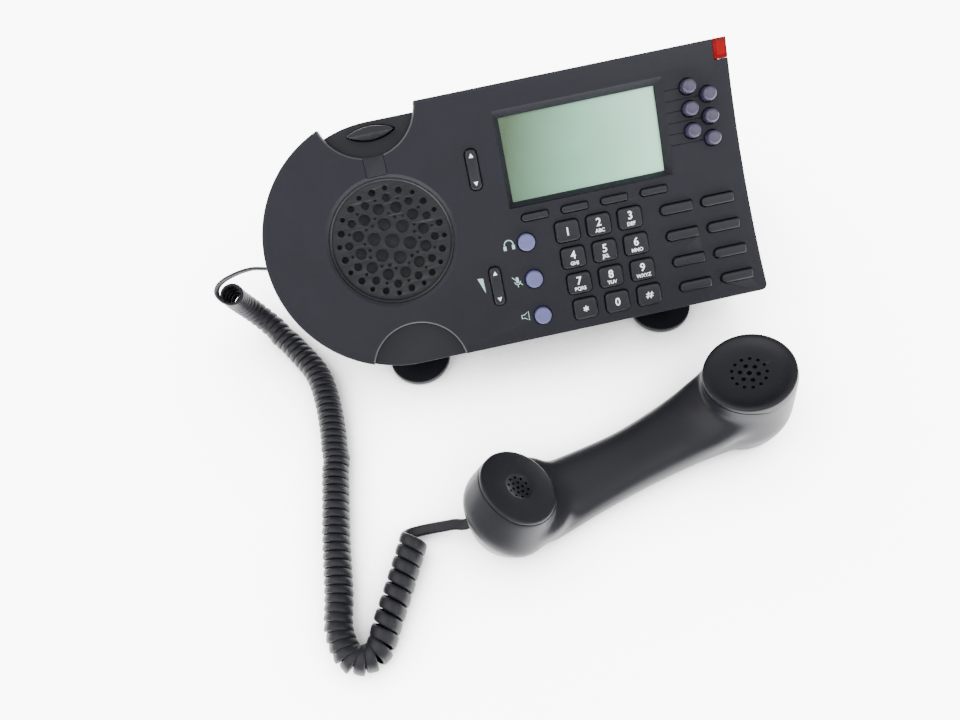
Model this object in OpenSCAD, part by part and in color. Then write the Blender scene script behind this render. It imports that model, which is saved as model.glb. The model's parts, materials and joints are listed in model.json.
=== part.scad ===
// Desk IP phone: tilted face housing on two disc-footed legs, a separate
// handset lying beside it, and the curly cord between them.
// Millimetres, +Z up, X along the face, +Y to the back.

/* [Face] */
// Length of the face from its round left end to the flared lower right corner
face_w = 258.5; // [250:0.5:270]
// Height of the face, measured along its slope
face_h = 131.5; // [131:0.5:132]
// Angle of the face from the desk
tilt = 42; // [40:1:44]
// Height of the face's lower edge above the desk
edge_z = 36; // [36:0.5:40]
// How far the right-hand edge flares out towards the bottom
flare = 9; // [8:0.5:10]
// Thickness of the front plate
plate_t = 2.5; // [2.5:0.1:2.8]
// Depth of the front shell's side wall
skirt_d = 6; // [6:0.1:6.4]
// Depth of the whole body from face to back
body_d = 30; // [30:0.5:32]
// Wall thickness of the shells
wall = 2.2; // [2:0.1:2.4]
// Radius of the two handset notches
notch_r = 25.2; // [24.5:0.1:25.6]

/* [Speaker] */
// Radius of the speaker opening
spk_r = 32; // [31.5:0.1:32.2]
// Depth of the dished grille
dish_d = 5; // [4:0.5:5.5]
// Travel of the message lamp corner along the top edge
lamp_w = 7.2; // [7:0.1:7.4]

/* [Display] */
// Width of the visible display window
lcd_w = 80; // [78:0.5:81]
// Height of the visible display window
lcd_h = 42; // [40:0.5:43]
// Depth of the sloped frame round the display
bezel_d = 4; // [3.5:0.1:4.2]

/* [Keys] */
// Width of a dial key cap
key_w = 12.5; // [12:0.1:12.6]
// Height of a dial key cap
key_h = 10.9; // [10.4:0.1:11]
// Distance between dial key columns
key_px = 16.7; // [16.5:0.1:17]
// Distance between dial key rows
key_py = 14.1; // [14:0.1:14.2]
// Gap between a key and its opening
key_gap = 0.3; // [0.25:0.05:0.4]
// How far the dial keys stand out of the face
key_up = 2.0; // [1.5:0.1:2.4]
// Key travel
travel = 1.2; // [1:0.1:1.3]
// Length of a function key cap
fkey_w = 17; // [16.5:0.1:17.2]
// Height of a function key cap
fkey_h = 4.9; // [4.6:0.1:5]
// Length of a display key cap
skey_w = 13.8; // [13.4:0.1:14]
// Height of a display key cap
skey_h = 3.5; // [3.3:0.1:3.6]
// Radius of a line button
line_r = 3.75; // [3.6:0.05:3.8]
// Radius of an audio button
aud_r = 4.5; // [4.4:0.05:4.6]
// Width of a rocker
rock_w = 5.8; // [5.6:0.1:6]
// Length of a rocker
rock_h = 20.2; // [19.8:0.1:20.4]

/* [Legs] */
// Radius of the front foot discs
foot_r = 17.5; // [17:0.1:18]
// Thickness of a foot disc
foot_t = 3.4; // [3:0.1:3.8]
// Thickness of the rubber pads
pad_t = 1; // [0.8:0.1:1.2]
// Width of a leg
leg_w = 14; // [12:0.5:15]

/* [Handset] */
// Distance between the two cup faces
hs_span = 129.8; // [129:0.1:130.5]
// Radius of the ear cup's face
ear_r = 22.7; // [22.4:0.1:23]
// Radius of the mouth cup's face
mic_r = 20.7; // [20.4:0.1:21]
// Width of the handle at its waist
waist_w = 32.4; // [31:0.2:33]
// Turn of the handset on the desk
hs_turn = 14; // [12:0.5:15]

/* [Cord] */
// Outer diameter of the curly cord
coil_d = 15; // [14:0.1:15]
// Thickness of the straight leads
lead_d = 4; // [3.6:0.1:4]

/* [Hidden] */
$fn = 64;

// The origin is under the middle of the phone and handset together
org_x = 129.06;
org_y = 12.68;

charcoal = [0.23, 0.235, 0.26];
darkgrey = [0.13, 0.13, 0.15];
lilac = [0.52, 0.50, 0.66];

cap_r = face_h / 2;                              // round left end
edge_top = face_w - flare;                       // right edge at the top
flare_r = (face_h * face_h + flare * flare) / (2 * flare);
notch_u = 66;
notch_out = 3;                                   // notch centres lie outside the face
spk_u = 65.6; spk_v = 66.4;
lcd_u = 171.2; lcd_v = 94.2;
bez = [128.1, 215.5, 70.7, 118.8];               // sloped frame, outer edges
rear_r = 64; rear_v = 62.7; rear_in = 3;         // rear shell outline
back_w = -body_d;
boss = [[20, 88], [101, 112], [101, 18], [124.5, 63], [222, 66.5], [205, 11.3]];
cdn = cos(tilt); sdn = sin(tilt);

// The right edge curve also fans the lower key columns
function edge_shift(v) = flare_r - sqrt(flare_r * flare_r - (face_h - v) * (face_h - v));
row_v = [53.3, 53.3 - key_py, 53.3 - 2 * key_py, 53.3 - 3 * key_py];
function fan(v, k) = k * (edge_shift(v) - edge_shift(row_v[0]));
function dial_u(c, r) = 155.6 + c * key_px + fan(row_v[r], 0.65 + 0.17 * c);
function fkey_u(c, r) = (c == 0 ? 205.4 : 227.3) + fan(row_v[r], c == 0 ? 1.17 : 1.4);
aud = [[133.6, 52], [134.2, 32.2], [135.3, 12]];
lineb = [[227.2, 111.6], [237, 106.2], [227.2, 100.8], [237, 95.4], [227.2, 90], [237, 84.6]];
soft_u = [140.4, 161.3, 182.3, 203.3]; soft_v = 64.4;
scroll = [113.8, 93.3]; volume = [114.3, 32.6];

foot_y = 21.5;
leg_x = [64.4, 209];
rear_foot_y = 122; rear_foot_r = 12;
function back_z(y) = edge_z - body_d * cdn + (y - body_d * sdn) * tan(tilt);

// Handset placed on the desk
hs_o = [102, -79, 0];
mic_c = [1, 1.2, 36];                            // middle of the mouth face
ear_c = [1 + hs_span, 0, 43];                    // middle of the ear face
mic_tip = [-2.7, 33.5]; ear_tip = [-14.2, -11.6]; // how the two faces lean
jack_q = 1.6; jack_p = -25.6;                      // outer end of the plug
jack_z = 15;

// ---------- frames ----------
module place() { translate([-org_x, -org_y, 0]) children(); }
module on_face() { place() translate([0, 0, edge_z]) rotate([tilt, 0, 0]) children(); }
module on_handset() { place() translate(hs_o) rotate([0, 0, hs_turn]) children(); }
// extrude a flat shape between two depths of the face frame
module slab(lo, hi) { translate([0, 0, lo]) linear_extrude(height = hi - lo) children(); }

// ---------- flat outlines ----------
module rrect(w, h, r) {
  square([w - 2 * r, h], center = true);
  square([w, h - 2 * r], center = true);
  for (x = [-1, 1], y = [-1, 1]) translate([x * (w / 2 - r), y * (h / 2 - r)]) circle(r = r, $fn = 24);
}
// key with a full round left end and small round corners on the right
module dkey(w, h, r = 0.8) {
  translate([h / 2, 0]) circle(r = h / 2, $fn = 32);
  translate([h / 2, -h / 2]) square([w - h / 2 - r, h]);
  translate([w - r, -h / 2 + r]) square([r, h - 2 * r]);
  for (y = [-1, 1]) translate([w - r, y * (h / 2 - r)]) circle(r = r, $fn = 24);
}
module big_edge(inset) {
  translate([edge_top + flare_r - inset, face_h]) circle(r = flare_r, $fn = 720);
}
module face_solid(inset = 0) {
  difference() {
    union() {
      translate([cap_r, cap_r]) circle(r = cap_r - inset, $fn = 180);
      translate([cap_r, inset]) square([face_w - cap_r + 5, face_h - 2 * inset]);
    }
    big_edge(inset);
    // small round at the lower right corner
    difference() {
      translate([face_w - 3.4 - inset, inset - 1]) square([8, 4]);
      translate([face_w - 3.4 - inset, inset + 3]) circle(r = 3, $fn = 48);
    }
  }
}
module notches(grow = 0) {
  translate([notch_u, face_h + notch_out]) circle(r = notch_r + grow, $fn = 96);
  translate([notch_u, -notch_out]) circle(r = notch_r + grow, $fn = 96);
}
module lamp_corner(g) { translate([edge_top - lamp_w - g, face_h - 10 - g]) square([30, 30]); }
module face_outline() {
  difference() { face_solid(); notches(); lamp_corner(0); }
}
module face_core() {
  difference() { face_solid(wall); notches(wall); lamp_corner(wall); }
}
module rear_outline(inset = 0) {
  difference() {
    union() {
      translate([notch_u, rear_v]) circle(r = rear_r - inset, $fn = 180);
      translate([notch_u, rear_v - rear_r + inset]) square([face_w - notch_u, 2 * (rear_r - inset)]);
    }
    big_edge(rear_in + inset);
  }
}

// ---------- housing ----------
module key_holes(g) {
  for (r = [0:3], c = [0:2]) translate([dial_u(c, r), row_v[r]]) rrect(key_w + 2 * g, key_h + 2 * g, 2.3 + g);
  for (r = [0:3], c = [0:1]) translate([fkey_u(c, r) - g, row_v[r]]) dkey(fkey_w + 2 * g, fkey_h + 2 * g, 0.8 + g);
  for (u = soft_u) translate([u - skey_w / 2 - g, soft_v]) dkey(skey_w + 2 * g, skey_h + 2 * g, 0.8 + g);
  for (p = lineb) translate(p) circle(r = line_r + g, $fn = 48);
  for (p = aud) translate(p) circle(r = aud_r + g, $fn = 48);
  for (p = [scroll, volume]) translate(p) rrect(rock_w + 2 * g, rock_h + 2 * g, 2.4 + g);
}
module clip_cut(g) {
  translate([60.8 - g, spk_v + 33.6 - g]) square([10.1 + 2 * g, 30]);
}
// four sloped walls round the display, as two crossed wedges
module bezel_cut() {
  l = lcd_u - lcd_w / 2; r = lcd_u + lcd_w / 2; b = lcd_v - lcd_h / 2; t = lcd_v + lcd_h / 2;
  e = 0.5;
  intersection() {
    translate([0, 200, 0]) rotate([90, 0, 0]) linear_extrude(height = 200)
      polygon([[l, -bezel_d - e], [r, -bezel_d - e], [r, -bezel_d], [bez[1], 0], [bez[1], 1], [bez[0], 1], [bez[0], 0], [l, -bezel_d]]);
    rotate([90, 0, 90]) linear_extrude(height = 300)
      polygon([[b, -bezel_d - e], [t, -bezel_d - e], [t, -bezel_d], [bez[3], 0], [bez[3], 1], [bez[2], 1], [bez[2], 0], [b, -bezel_d]]);
  }
}
module front_shell() color(charcoal) on_face() difference() {
  union() {
    slab(-plate_t, 0) face_outline();
    slab(-skirt_d, -plate_t) difference() { face_outline(); face_core(); }
    // frame that holds the display, under the plate
    slab(-bezel_d, -plate_t) translate([bez[0] + 0.4, bez[2] + 0.4]) square([bez[1] - bez[0] - 0.8, bez[3] - bez[2] - 0.8]);
    for (p = boss) translate([p[0], p[1], -25]) cylinder(r = 3, h = 25 - plate_t, $fn = 32);
  }
  slab(-plate_t - 1, 1) key_holes(key_gap);
  slab(-plate_t - 1, 1) clip_cut(0.1);
  bezel_cut();
  translate([spk_u, spk_v, -plate_t - 1]) cylinder(r = spk_r, h = 10, $fn = 128);
  translate([spk_u, spk_v, -1.2]) cylinder(r1 = spk_r, r2 = spk_r + 2, h = 1.21, $fn = 128);
  // grooves from the display frame to the line buttons
  for (p = lineb) translate([bez[1] - 0.2, p[1] - 0.25, -0.4]) cube([p[0] - bez[1] - line_r, 0.5, 1]);
  for (p = boss) translate([p[0], p[1], -26]) cylinder(r = 1.5, h = 15, $fn = 32);
}

// connector housing under the body, with an upright back wall
hump = [96, 176, 20, 80];        // x from, x to, bottom z, back y
module hump_prism(g) {
  z0 = hump[2] + g; y1 = hump[3] - g;
  y0 = body_d * sdn + (z0 - edge_z + body_d * cdn) / tan(tilt) + 1.4 * g;
  translate([hump[0] + g, 0, 0]) rotate([90, 0, 90]) linear_extrude(height = hump[1] - hump[0] - 2 * g)
    polygon([[y0, z0], [y1, z0], [y1, back_z(y1) - 1.4 * g]]);
}
net_x = [112.5, 128.5]; net_z = 27; net_h = 14;
module rear_shell() color(darkgrey) {
  on_face() difference() {
    union() {
      slab(back_w, -skirt_d) difference() {
        rear_outline();
        rear_outline(wall);
      }
      slab(back_w, back_w + wall) rear_outline();
      // decks seen through the two notches
      slab(-skirt_d - wall, -skirt_d) intersection() {
        rear_outline();
        notches(3.5);
      }
      for (p = boss) translate([p[0], p[1], back_w + 1]) cylinder(r = 4, h = body_d - 26, $fn = 32);
    }
    for (p = boss) {
      translate([p[0], p[1], back_w - 1]) cylinder(r = 1.7, h = 10, $fn = 32);
      translate([p[0], p[1], back_w - 1]) cylinder(r = 3.1, h = 2.9, $fn = 32);
    }
    // opening for the hook switch
    slab(-skirt_d - wall - 1, -skirt_d + 1) hook_leaf(0.4);
    // window for the handset socket in the left side wall
    translate([-2, 58.2, -23.6]) cube([8, 11.6, 11.2]);
    // slots for the legs' tabs
    for (x = leg_x, y = [foot_y + 3, 96]) translate([x - 4.2, leg_tab_v(y) - 1.7, back_w - 1]) cube([8.4, 3.4, 4]);
  }
  place() difference() {
    hump_prism(0);
    hump_prism(2);
    translate([net_x[0] - 8, hump[3] - 5, net_z]) cube([32, 10, net_h]);
  }
}
function leg_tab_v(y) = (y - body_d * sdn) / cdn;

module hook_leaf(g) {
  intersection() {
    translate([67.2, 121.2 - 22.6]) circle(r = 25.4 + g, $fn = 128);
    translate([67.2, 121.2 + 19.0]) circle(r = 22.6 + g, $fn = 128);
  }
}
module hook_switch() color([0.1, 0.1, 0.13]) on_face() {
  // sloped tongue that the ear cup presses in
  difference() {
    slab(-11, 0.6) hook_leaf(0);
    translate([40, 115.6, -4.6]) rotate([48, 0, 0]) translate([0, -10, 0]) cube([60, 24, 14]);
  }
  slab(-11, -9.4) translate([67.2, 119.9]) square([22, 6], center = true);
}
module handset_clip() color(charcoal) on_face() {
  slab(-plate_t, 0) difference() {
    translate([60.8, spk_v + 33.6]) square([10.1, 12]);
    notches(0);
    translate([spk_u, spk_v]) circle(r = spk_r + 1.4, $fn = 128);
  }
}
module message_lamp() color([0.9, 0.2, 0.25]) on_face() difference() {
  union() {
    slab(-plate_t, 0) intersection() { face_solid(); lamp_corner(-0.1); }
    slab(-skirt_d, -plate_t) difference() { intersection() { face_solid(); lamp_corner(-0.1); } face_solid(wall); }
  }
}
module speaker_grille() color(darkgrey) on_face() translate([spk_u, spk_v, 0]) difference() {
  rotate_extrude($fn = 128) polygon([[0, -dish_d - 1.4], [29.4, -dish_d - 1.4], [31.8, -2.4], [31.8, -1.3], [31.2, -1.3], [29, -dish_d], [0, -dish_d]]);
  translate([0, 0, -20]) {
    cylinder(r = 3.8, h = 30, $fn = 32);
    for (a = [0:5]) rotate(43 - 60 * a) translate([9.35, 0]) cylinder(r = 3.4, h = 30, $fn = 32);
    for (a = [0:11]) {
      rotate(-19.5 - 30 * a) translate([17.5, 0]) cylinder(r = 2.9, h = 30, $fn = 24);
      rotate(-5 - 30 * a) translate([22.3, 0]) cylinder(r = 2, h = 30, $fn = 24);
      rotate(-20 - 30 * a) translate([26, 0]) cylinder(r = 1.8, h = 30, $fn = 24);
    }
  }
}
module speaker_driver() color([0.35, 0.35, 0.37]) on_face() translate([spk_u, spk_v, 0]) {
  rotate_extrude($fn = 96) polygon([[0, -9.6], [10, -9.6], [27, -7.6], [30.5, -7.6], [30.5, -9.4], [27.5, -9.4], [17, -17], [17, -23], [0, -23]]);
}
module display_lens() color([0.75, 0.88, 0.85, 0.5]) on_face()
  translate([lcd_u - lcd_w / 2 - 1.6, lcd_v - lcd_h / 2 - 1.6, -bezel_d - 1]) cube([lcd_w + 3.2, lcd_h + 3.2, 1]);
module display_module() color([0.7, 0.8, 0.72]) on_face() difference() {
  translate([bez[0] - 2.4, bez[2] - 2, -10.6]) cube([bez[1] - bez[0] + 4.8, bez[3] - bez[2] + 4, 5.6]);
}
module main_board() color([0.1, 0.35, 0.2]) on_face() difference() {
  translate([97, 6, -15.6]) cube([146, 112, 1.6]);
  for (p = boss) translate([p[0], p[1], -20]) cylinder(r = 3.6, h = 10, $fn = 32);
}
module keypad_membrane() color([0.75, 0.75, 0.72]) on_face() difference() {
  union() {
    slab(-8.6, -7.4) {
      polygon([[106, 6], [249.4, 6], [247.2, 30], [245, 67.5], [106, 67.5]]);
      translate([220.5, 79]) square([22, 38]);
      translate([109, 67]) square([9, 38]);
    }
  }
  for (p = boss) translate([p[0], p[1], -20]) cylinder(r = 3.6, h = 20, $fn = 32);
}
module housing_screws() color("silver") on_face() for (p = boss) translate([p[0], p[1], 0]) {
  translate([0, 0, back_w + 0.2]) cylinder(r = 2.8, h = 1.7, $fn = 32);
  translate([0, 0, back_w + 1.9]) cylinder(r = 1.45, h = 15, $fn = 32);
}
port_v = 64; port_w = -18;
module board_sockets() color([0.2, 0.2, 0.22]) {
  // two network sockets in the connector housing
  place() difference() {
    translate([net_x[0] - 8, hump[3] - 20, net_z]) cube([32, 20, net_h]);
    for (x = net_x) {
      translate([x - 5.9, hump[3] - 14, net_z + 3.4]) cube([11.8, 20, 7.4]);
      translate([x - 2, hump[3] - 14, net_z + 1.6]) cube([4, 20, 3]);
    }
  }
  // handset socket behind the left side wall
  on_face() difference() {
    translate([2.6, port_v - 5.6, port_w - 5.4]) cube([15, 11.2, 10.8]);
    translate([0, port_v - 4, port_w - 3.4]) cube([15, 8, 6.8]);
  }
}

// ---------- keys ----------
flange_lo = -5.8; flange_hi = -4.4;
module dial_key(c, r) color(charcoal) on_face() translate([dial_u(c, r), row_v[r], 0]) {
  slab(flange_hi, key_up) rrect(key_w, key_h, 2.3);
  slab(flange_lo, flange_hi) rrect(key_w + 1.6, key_h + 1.6, 2.3);
}
module line_button(i) color(lilac) on_face() translate([lineb[i][0], lineb[i][1], 0]) {
  slab(flange_hi, 4.6) circle(r = line_r, $fn = 48);
  slab(4.6, 5.2) circle(r = line_r - 0.5, $fn = 48);
  slab(flange_lo, flange_hi) circle(r = line_r + 0.8, $fn = 48);
}
module audio_button(i) color(lilac) on_face() translate([aud[i][0], aud[i][1], 0]) {
  slab(flange_hi, 2.2) circle(r = aud_r, $fn = 48);
  slab(2.2, 2.8) circle(r = aud_r - 0.6, $fn = 48);
  slab(flange_lo, flange_hi) circle(r = aud_r + 0.8, $fn = 48);
}
module softkey(i) color(charcoal) on_face() translate([soft_u[i] - skey_w / 2, soft_v, 0]) {
  slab(flange_hi, 1.6) dkey(skey_w, skey_h);
  slab(flange_lo, flange_hi) translate([-0.6, 0]) dkey(skey_w + 1.2, skey_h + 1.2);
}
module function_key(c, r) color(charcoal) on_face() translate([fkey_u(c, r), row_v[r], 0]) {
  slab(flange_hi, 2.2) dkey(fkey_w, fkey_h);
  slab(flange_lo, flange_hi) translate([-0.6, 0]) dkey(fkey_w + 1.2, fkey_h + 1.2);
}
module rocker(p) color(charcoal) on_face() translate([p[0], p[1], 0]) difference() {
  union() {
    slab(-3.2, 1.8) rrect(rock_w, rock_h, 2.4);
    rotate([0, 90, 0]) translate([3.6, 0, -4.6]) cylinder(r = 1.1, h = 9.2, $fn = 32);
  }
  // shallow dip along the middle
  translate([-5, 0, 31.2]) rotate([0, 90, 0]) cylinder(r = 30, h = 10, $fn = 240);
}

// ---------- legs ----------
module leg(x) color(darkgrey) {
  zt = pad_t + foot_t;
  place() {
    translate([x, foot_y, pad_t]) cylinder(r = foot_r, h = foot_t, $fn = 96);
    translate([x, rear_foot_y, pad_t]) cylinder(r = rear_foot_r, h = foot_t, $fn = 64);
    translate([x - leg_w / 2, 0, 0]) rotate([90, 0, 90]) linear_extrude(height = leg_w) difference() {
      polygon([[foot_y - 1, zt - 0.4], [rear_foot_y + 4, zt - 0.4], [rear_foot_y + 4, zt + 8], [104, back_z(104)], [foot_y - 1, back_z(foot_y - 1)]]);
      polygon([[54, zt + 7], [106, zt + 7], [94, back_z(94) - 11], [54, back_z(54) - 11]]);
    }
  }
  // tabs that clip through the back of the body
  on_face() for (y = [foot_y + 3, 96]) translate([x - 4, leg_tab_v(y) - 1.5, back_w - 2]) cube([8, 3, 4.6]);
}
module rubber_feet() color([0.08, 0.08, 0.08]) place() for (x = leg_x) {
  translate([x, foot_y, 0]) cylinder(r = foot_r - 0.8, h = pad_t, $fn = 96);
  translate([x, rear_foot_y, 0]) cylinder(r = rear_foot_r - 0.8, h = pad_t, $fn = 64);
}

// ---------- handset ----------
split_z = 15;
// Mouth and ear faces, local +Z out of the face
module mic_axis() { translate(mic_c) rotate([mic_tip[0], mic_tip[1], 0]) children(); }
module ear_axis() { translate(ear_c) rotate([ear_tip[0], ear_tip[1], 0]) children(); }
// softened cross section of the handle, across at distance p
function soft(t, e) = sign(t) * pow(abs(t), e);
module grip(p, q, half, lo, hi) {
  translate([p, q, (lo + hi) / 2]) rotate([90, 0, 90]) linear_extrude(height = 0.4)
    polygon([for (a = [0:12:348]) [half * soft(cos(a), 0.75), (hi - lo) / 2 * soft(sin(a), 0.75)]]);
}
module handset_body() {
  hull() {
    mic_axis() translate([0, 0, -1]) cylinder(r = mic_r - 0.8, h = 1, $fn = 56);
    mic_axis() translate([0, 0, -2.4]) cylinder(r = mic_r, h = 1.4, $fn = 56);
    translate([-9, -4, 21.5]) rotate([-2.7, 37, 0]) cylinder(r = 24, h = 0.8, center = true, $fn = 48);
    translate([-7, -4, 0]) cylinder(r = 14.6, h = 1, $fn = 36);
  }
  hull() { grip(4, -5, 20.5, 0.4, 22); grip(36, -5.6, 17.3, 0.6, 22.5); }
  hull() { grip(36, -5.6, 17.3, 0.6, 22.5); grip(62, -5.8, waist_w / 2, 1, 23.5); }
  hull() { grip(62, -5.8, waist_w / 2, 1, 23.5); grip(90, -4.6, 18.4, 0.6, 25); }
  hull() { grip(90, -4.6, 18.4, 0.6, 25); grip(118, -4, 22, 0.4, 26.5); }
  hull() {
    ear_axis() translate([0, 0, -1]) cylinder(r = ear_r - 0.8, h = 1, $fn = 56);
    ear_axis() translate([0, 0, -3]) cylinder(r = ear_r, h = 2, $fn = 56);
    translate([131, -7, 15]) rotate([-14.2, -8.6, 0]) cylinder(r = 22, h = 0.8, center = true, $fn = 48);
    translate([128, -9, 0]) cylinder(r = 14, h = 1, $fn = 36);
  }
}
module handset_pockets() {
  mic_axis() translate([0, 0, -14]) cylinder(r = 15, h = 11.8, $fn = 48);
  ear_axis() translate([0, 0, -18]) cylinder(r = 17, h = 15.6, $fn = 48);
  translate([-21.5, jack_q - 6, 9]) cube([13, 12, 12]);
  translate([-40, jack_q - 4.1, jack_z - 3.5]) cube([24, 8.2, 7]);
  translate([-8.6, -12, 5]) cube([hs_span + 6, 13, 13]);
}
module handset_front_shell() color(charcoal) on_handset() difference() {
  handset_body();
  translate([-60, -60, split_z - 100]) cube([300, 120, 100]);
  handset_pockets();
  // sound holes
  ear_axis() translate([0, 0, -5]) {
    cylinder(r = 1.3, h = 10, $fn = 24);
    for (a = [0:5]) rotate(60 * a + 20) translate([4.5, 0, 0]) cylinder(r = 1.1, h = 10, $fn = 24);
    for (a = [0:12]) rotate(360 / 13 * a) translate([8.6, 0, 0]) cylinder(r = 0.85, h = 10, $fn = 16);
  }
  mic_axis() translate([0, 0, -5]) {
    cylinder(r = 0.9, h = 10, $fn = 24);
    for (a = [0:5]) rotate(60 * a) translate([2.9, 0, 0]) cylinder(r = 0.7, h = 10, $fn = 16);
    for (a = [0:9]) rotate(36 * a) translate([5.6, 0, 0]) cylinder(r = 0.65, h = 10, $fn = 16);
  }
}
module handset_back_shell() color(charcoal) on_handset() difference() {
  handset_body();
  translate([-60, -60, split_z]) cube([300, 120, 100]);
  handset_pockets();
}
module handset_capsules() color([0.5, 0.5, 0.52]) on_handset() {
  mic_axis() translate([0, 0, -10.2]) cylinder(r = 13.5, h = 8, $fn = 48);
  ear_axis() translate([0, 0, -11.4]) cylinder(r = 15.6, h = 9, $fn = 48);
}
module handset_jack() color([0.15, 0.15, 0.16]) on_handset() difference() {
  translate([-21.4, jack_q - 5.9, 9.1]) cube([12.8, 11.8, 11.8]);
  translate([-22, jack_q - 4.1, jack_z - 3.5]) cube([11, 8.2, 7]);
}
module plug_body() {
  // square modular plug, 7.6 by 6.4, nose towards +X, cord side at x = 0
  translate([0, -3.8, -3.2]) cube([14, 7.6, 6.4]);
}
module handset_plug() color([0.12, 0.12, 0.13]) on_handset() translate([jack_p, jack_q, jack_z]) plug_body();
module base_plug() color([0.12, 0.12, 0.13]) on_face() translate([-2.5, port_v, port_w]) plug_body();

// ---------- cord ----------
// Points on a smooth curve through a list of route points
function cr(p, i, t) = let (n = len(p),
    a = p[max(i - 1, 0)], b = p[i], c = p[min(i + 1, n - 1)], d = p[min(i + 2, n - 1)])
  0.5 * ((2 * b) + (c - a) * t + (2 * a - 5 * b + 4 * c - d) * t * t + (3 * b - a - 3 * c + d) * t * t * t);
function smooth(p, k) = concat([for (i = [0:len(p) - 2], j = [0:k - 1]) cr(p, i, j / k)], [p[len(p) - 1]]);
function unit(v) = v / norm(v);
// Sweep a round section along the points; the end rings take the given normals
module sweep(pts, r, sides, n0, n1, up = [0.05, 0.1, 1]) {
  n = len(pts);
  tan_ = [for (i = [0:n - 1]) i == 0 ? n0 : i == n - 1 ? n1 : unit(pts[i + 1] - pts[i - 1])];
  rings = [for (i = [0:n - 1]) let (t = tan_[i], s = unit(cross(up, t)), u = cross(t, s))
    [for (j = [0:sides - 1]) pts[i] + r * (cos(360 * j / sides) * s + sin(360 * j / sides) * u)]];
  v = [for (i = [0:n - 1], j = [0:sides - 1]) rings[i][j]];
  side_f = [for (i = [0:n - 2], j = [0:sides - 1]) let (a = i * sides + j, b = i * sides + (j + 1) % sides)
    [a, a + sides, b + sides, b]];
  polyhedron(points = v, faces = concat(side_f, [[for (j = [0:sides - 1]) j]], [[for (j = [sides - 1:-1:0]) (n - 1) * sides + j]]), convexity = 6);
}
base_exit = [-2.5, port_v * cdn - port_w * sdn, edge_z + port_v * sdn + port_w * cdn];
coil_route = [[-30.9, 63.7, 44], [-31.6, 66.2, 37], [-31.2, 67.6, 30], [-29.4, 67.8, 23.5], [-26.2, 66.3, 17.2],
  [-21.4, 61.9, 12.4], [-14.6, 53.6, 9.2], [-5.9, 40, 8], [4, 22.4, 8], [8, 4, 8], [9, -20, 8], [7, -46, 8], [4, -75, 8], [2, -104, 8], [0, -122, 8], [5, -136, 8],
  [17, -136, 8], [25, -122, 8], [33.5, -106, 8], [43.9, -85.8, 9]];
coil_in = unit([-0.7, 2.5, -7]);
coil_out = unit([9, 17.5, 1]);
lead_a = [base_exit, base_exit + [-6, 0, 0], [-18.6, 62.4, 63.6], [-26.6, 62.4, 60.6], [-31.6, 61.8, 55.8], [-31.4, 61.9, 50.4], coil_route[0] - 3 * coil_in, coil_route[0]];
coil_end = [43.9, -85.8, 9];
hs_exit = hs_o + [jack_p * cos(hs_turn) - jack_q * sin(hs_turn), jack_p * sin(hs_turn) + jack_q * cos(hs_turn), jack_z];
lead_b = [coil_end, coil_end + 3 * coil_out, [47.6, -81.2, 11.4], [52, -82, 13.6], [58.8, -83.6, 14.8], [66.6, -84, 15],
  hs_exit - 6 * [cos(hs_turn), sin(hs_turn), 0], hs_exit];
module curly_cord() color([0.1, 0.1, 0.11]) place() sweep(smooth(coil_route, 3), coil_d / 2, 12, coil_in, coil_out);
module cord_lead_phone() color([0.1, 0.1, 0.11]) place() sweep(smooth(lead_a, 3), lead_d / 2, 8, [-1, 0, 0], coil_in, [0.1, 1, 0.05]);
module cord_lead_handset() color([0.1, 0.1, 0.11]) place()
  sweep(smooth(lead_b, 3), lead_d / 2, 8, coil_out, [cos(hs_turn), sin(hs_turn), 0]);

front_shell();
rear_shell();
speaker_grille();
speaker_driver();
display_lens();
display_module();
message_lamp();
handset_clip();
hook_switch();
main_board();
keypad_membrane();
housing_screws();
board_sockets();
leg(leg_x[0]);  // left_leg
leg(leg_x[1]);  // right_leg
rubber_feet();
dial_key(0, 0);  // key_1
dial_key(1, 0);  // key_2
dial_key(2, 0);  // key_3
dial_key(0, 1);  // key_4
dial_key(1, 1);  // key_5
dial_key(2, 1);  // key_6
dial_key(0, 2);  // key_7
dial_key(1, 2);  // key_8
dial_key(2, 2);  // key_9
dial_key(0, 3);  // key_star
dial_key(1, 3);  // key_0
dial_key(2, 3);  // key_pound
line_button(0);  // line_button_1
line_button(1);  // line_button_2
line_button(2);  // line_button_3
line_button(3);  // line_button_4
line_button(4);  // line_button_5
line_button(5);  // line_button_6
audio_button(0);  // headset_button
audio_button(1);  // mute_button
audio_button(2);  // speaker_button
softkey(0);  // softkey_1
softkey(1);  // softkey_2
softkey(2);  // softkey_3
softkey(3);  // softkey_4
function_key(0, 0);  // function_key_1
function_key(1, 0);  // function_key_2
function_key(0, 1);  // function_key_3
function_key(1, 1);  // function_key_4
function_key(0, 2);  // function_key_5
function_key(1, 2);  // function_key_6
function_key(0, 3);  // function_key_7
function_key(1, 3);  // function_key_8
rocker(scroll);  // scroll_rocker
rocker(volume);  // volume_rocker
handset_front_shell();
handset_back_shell();
handset_capsules();
handset_jack();
handset_plug();
base_plug();
cord_lead_phone();
curly_cord();
cord_lead_handset();
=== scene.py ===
import bpy, bmesh, json, math
import numpy as np
from mathutils import Vector, Matrix, Quaternion

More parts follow.
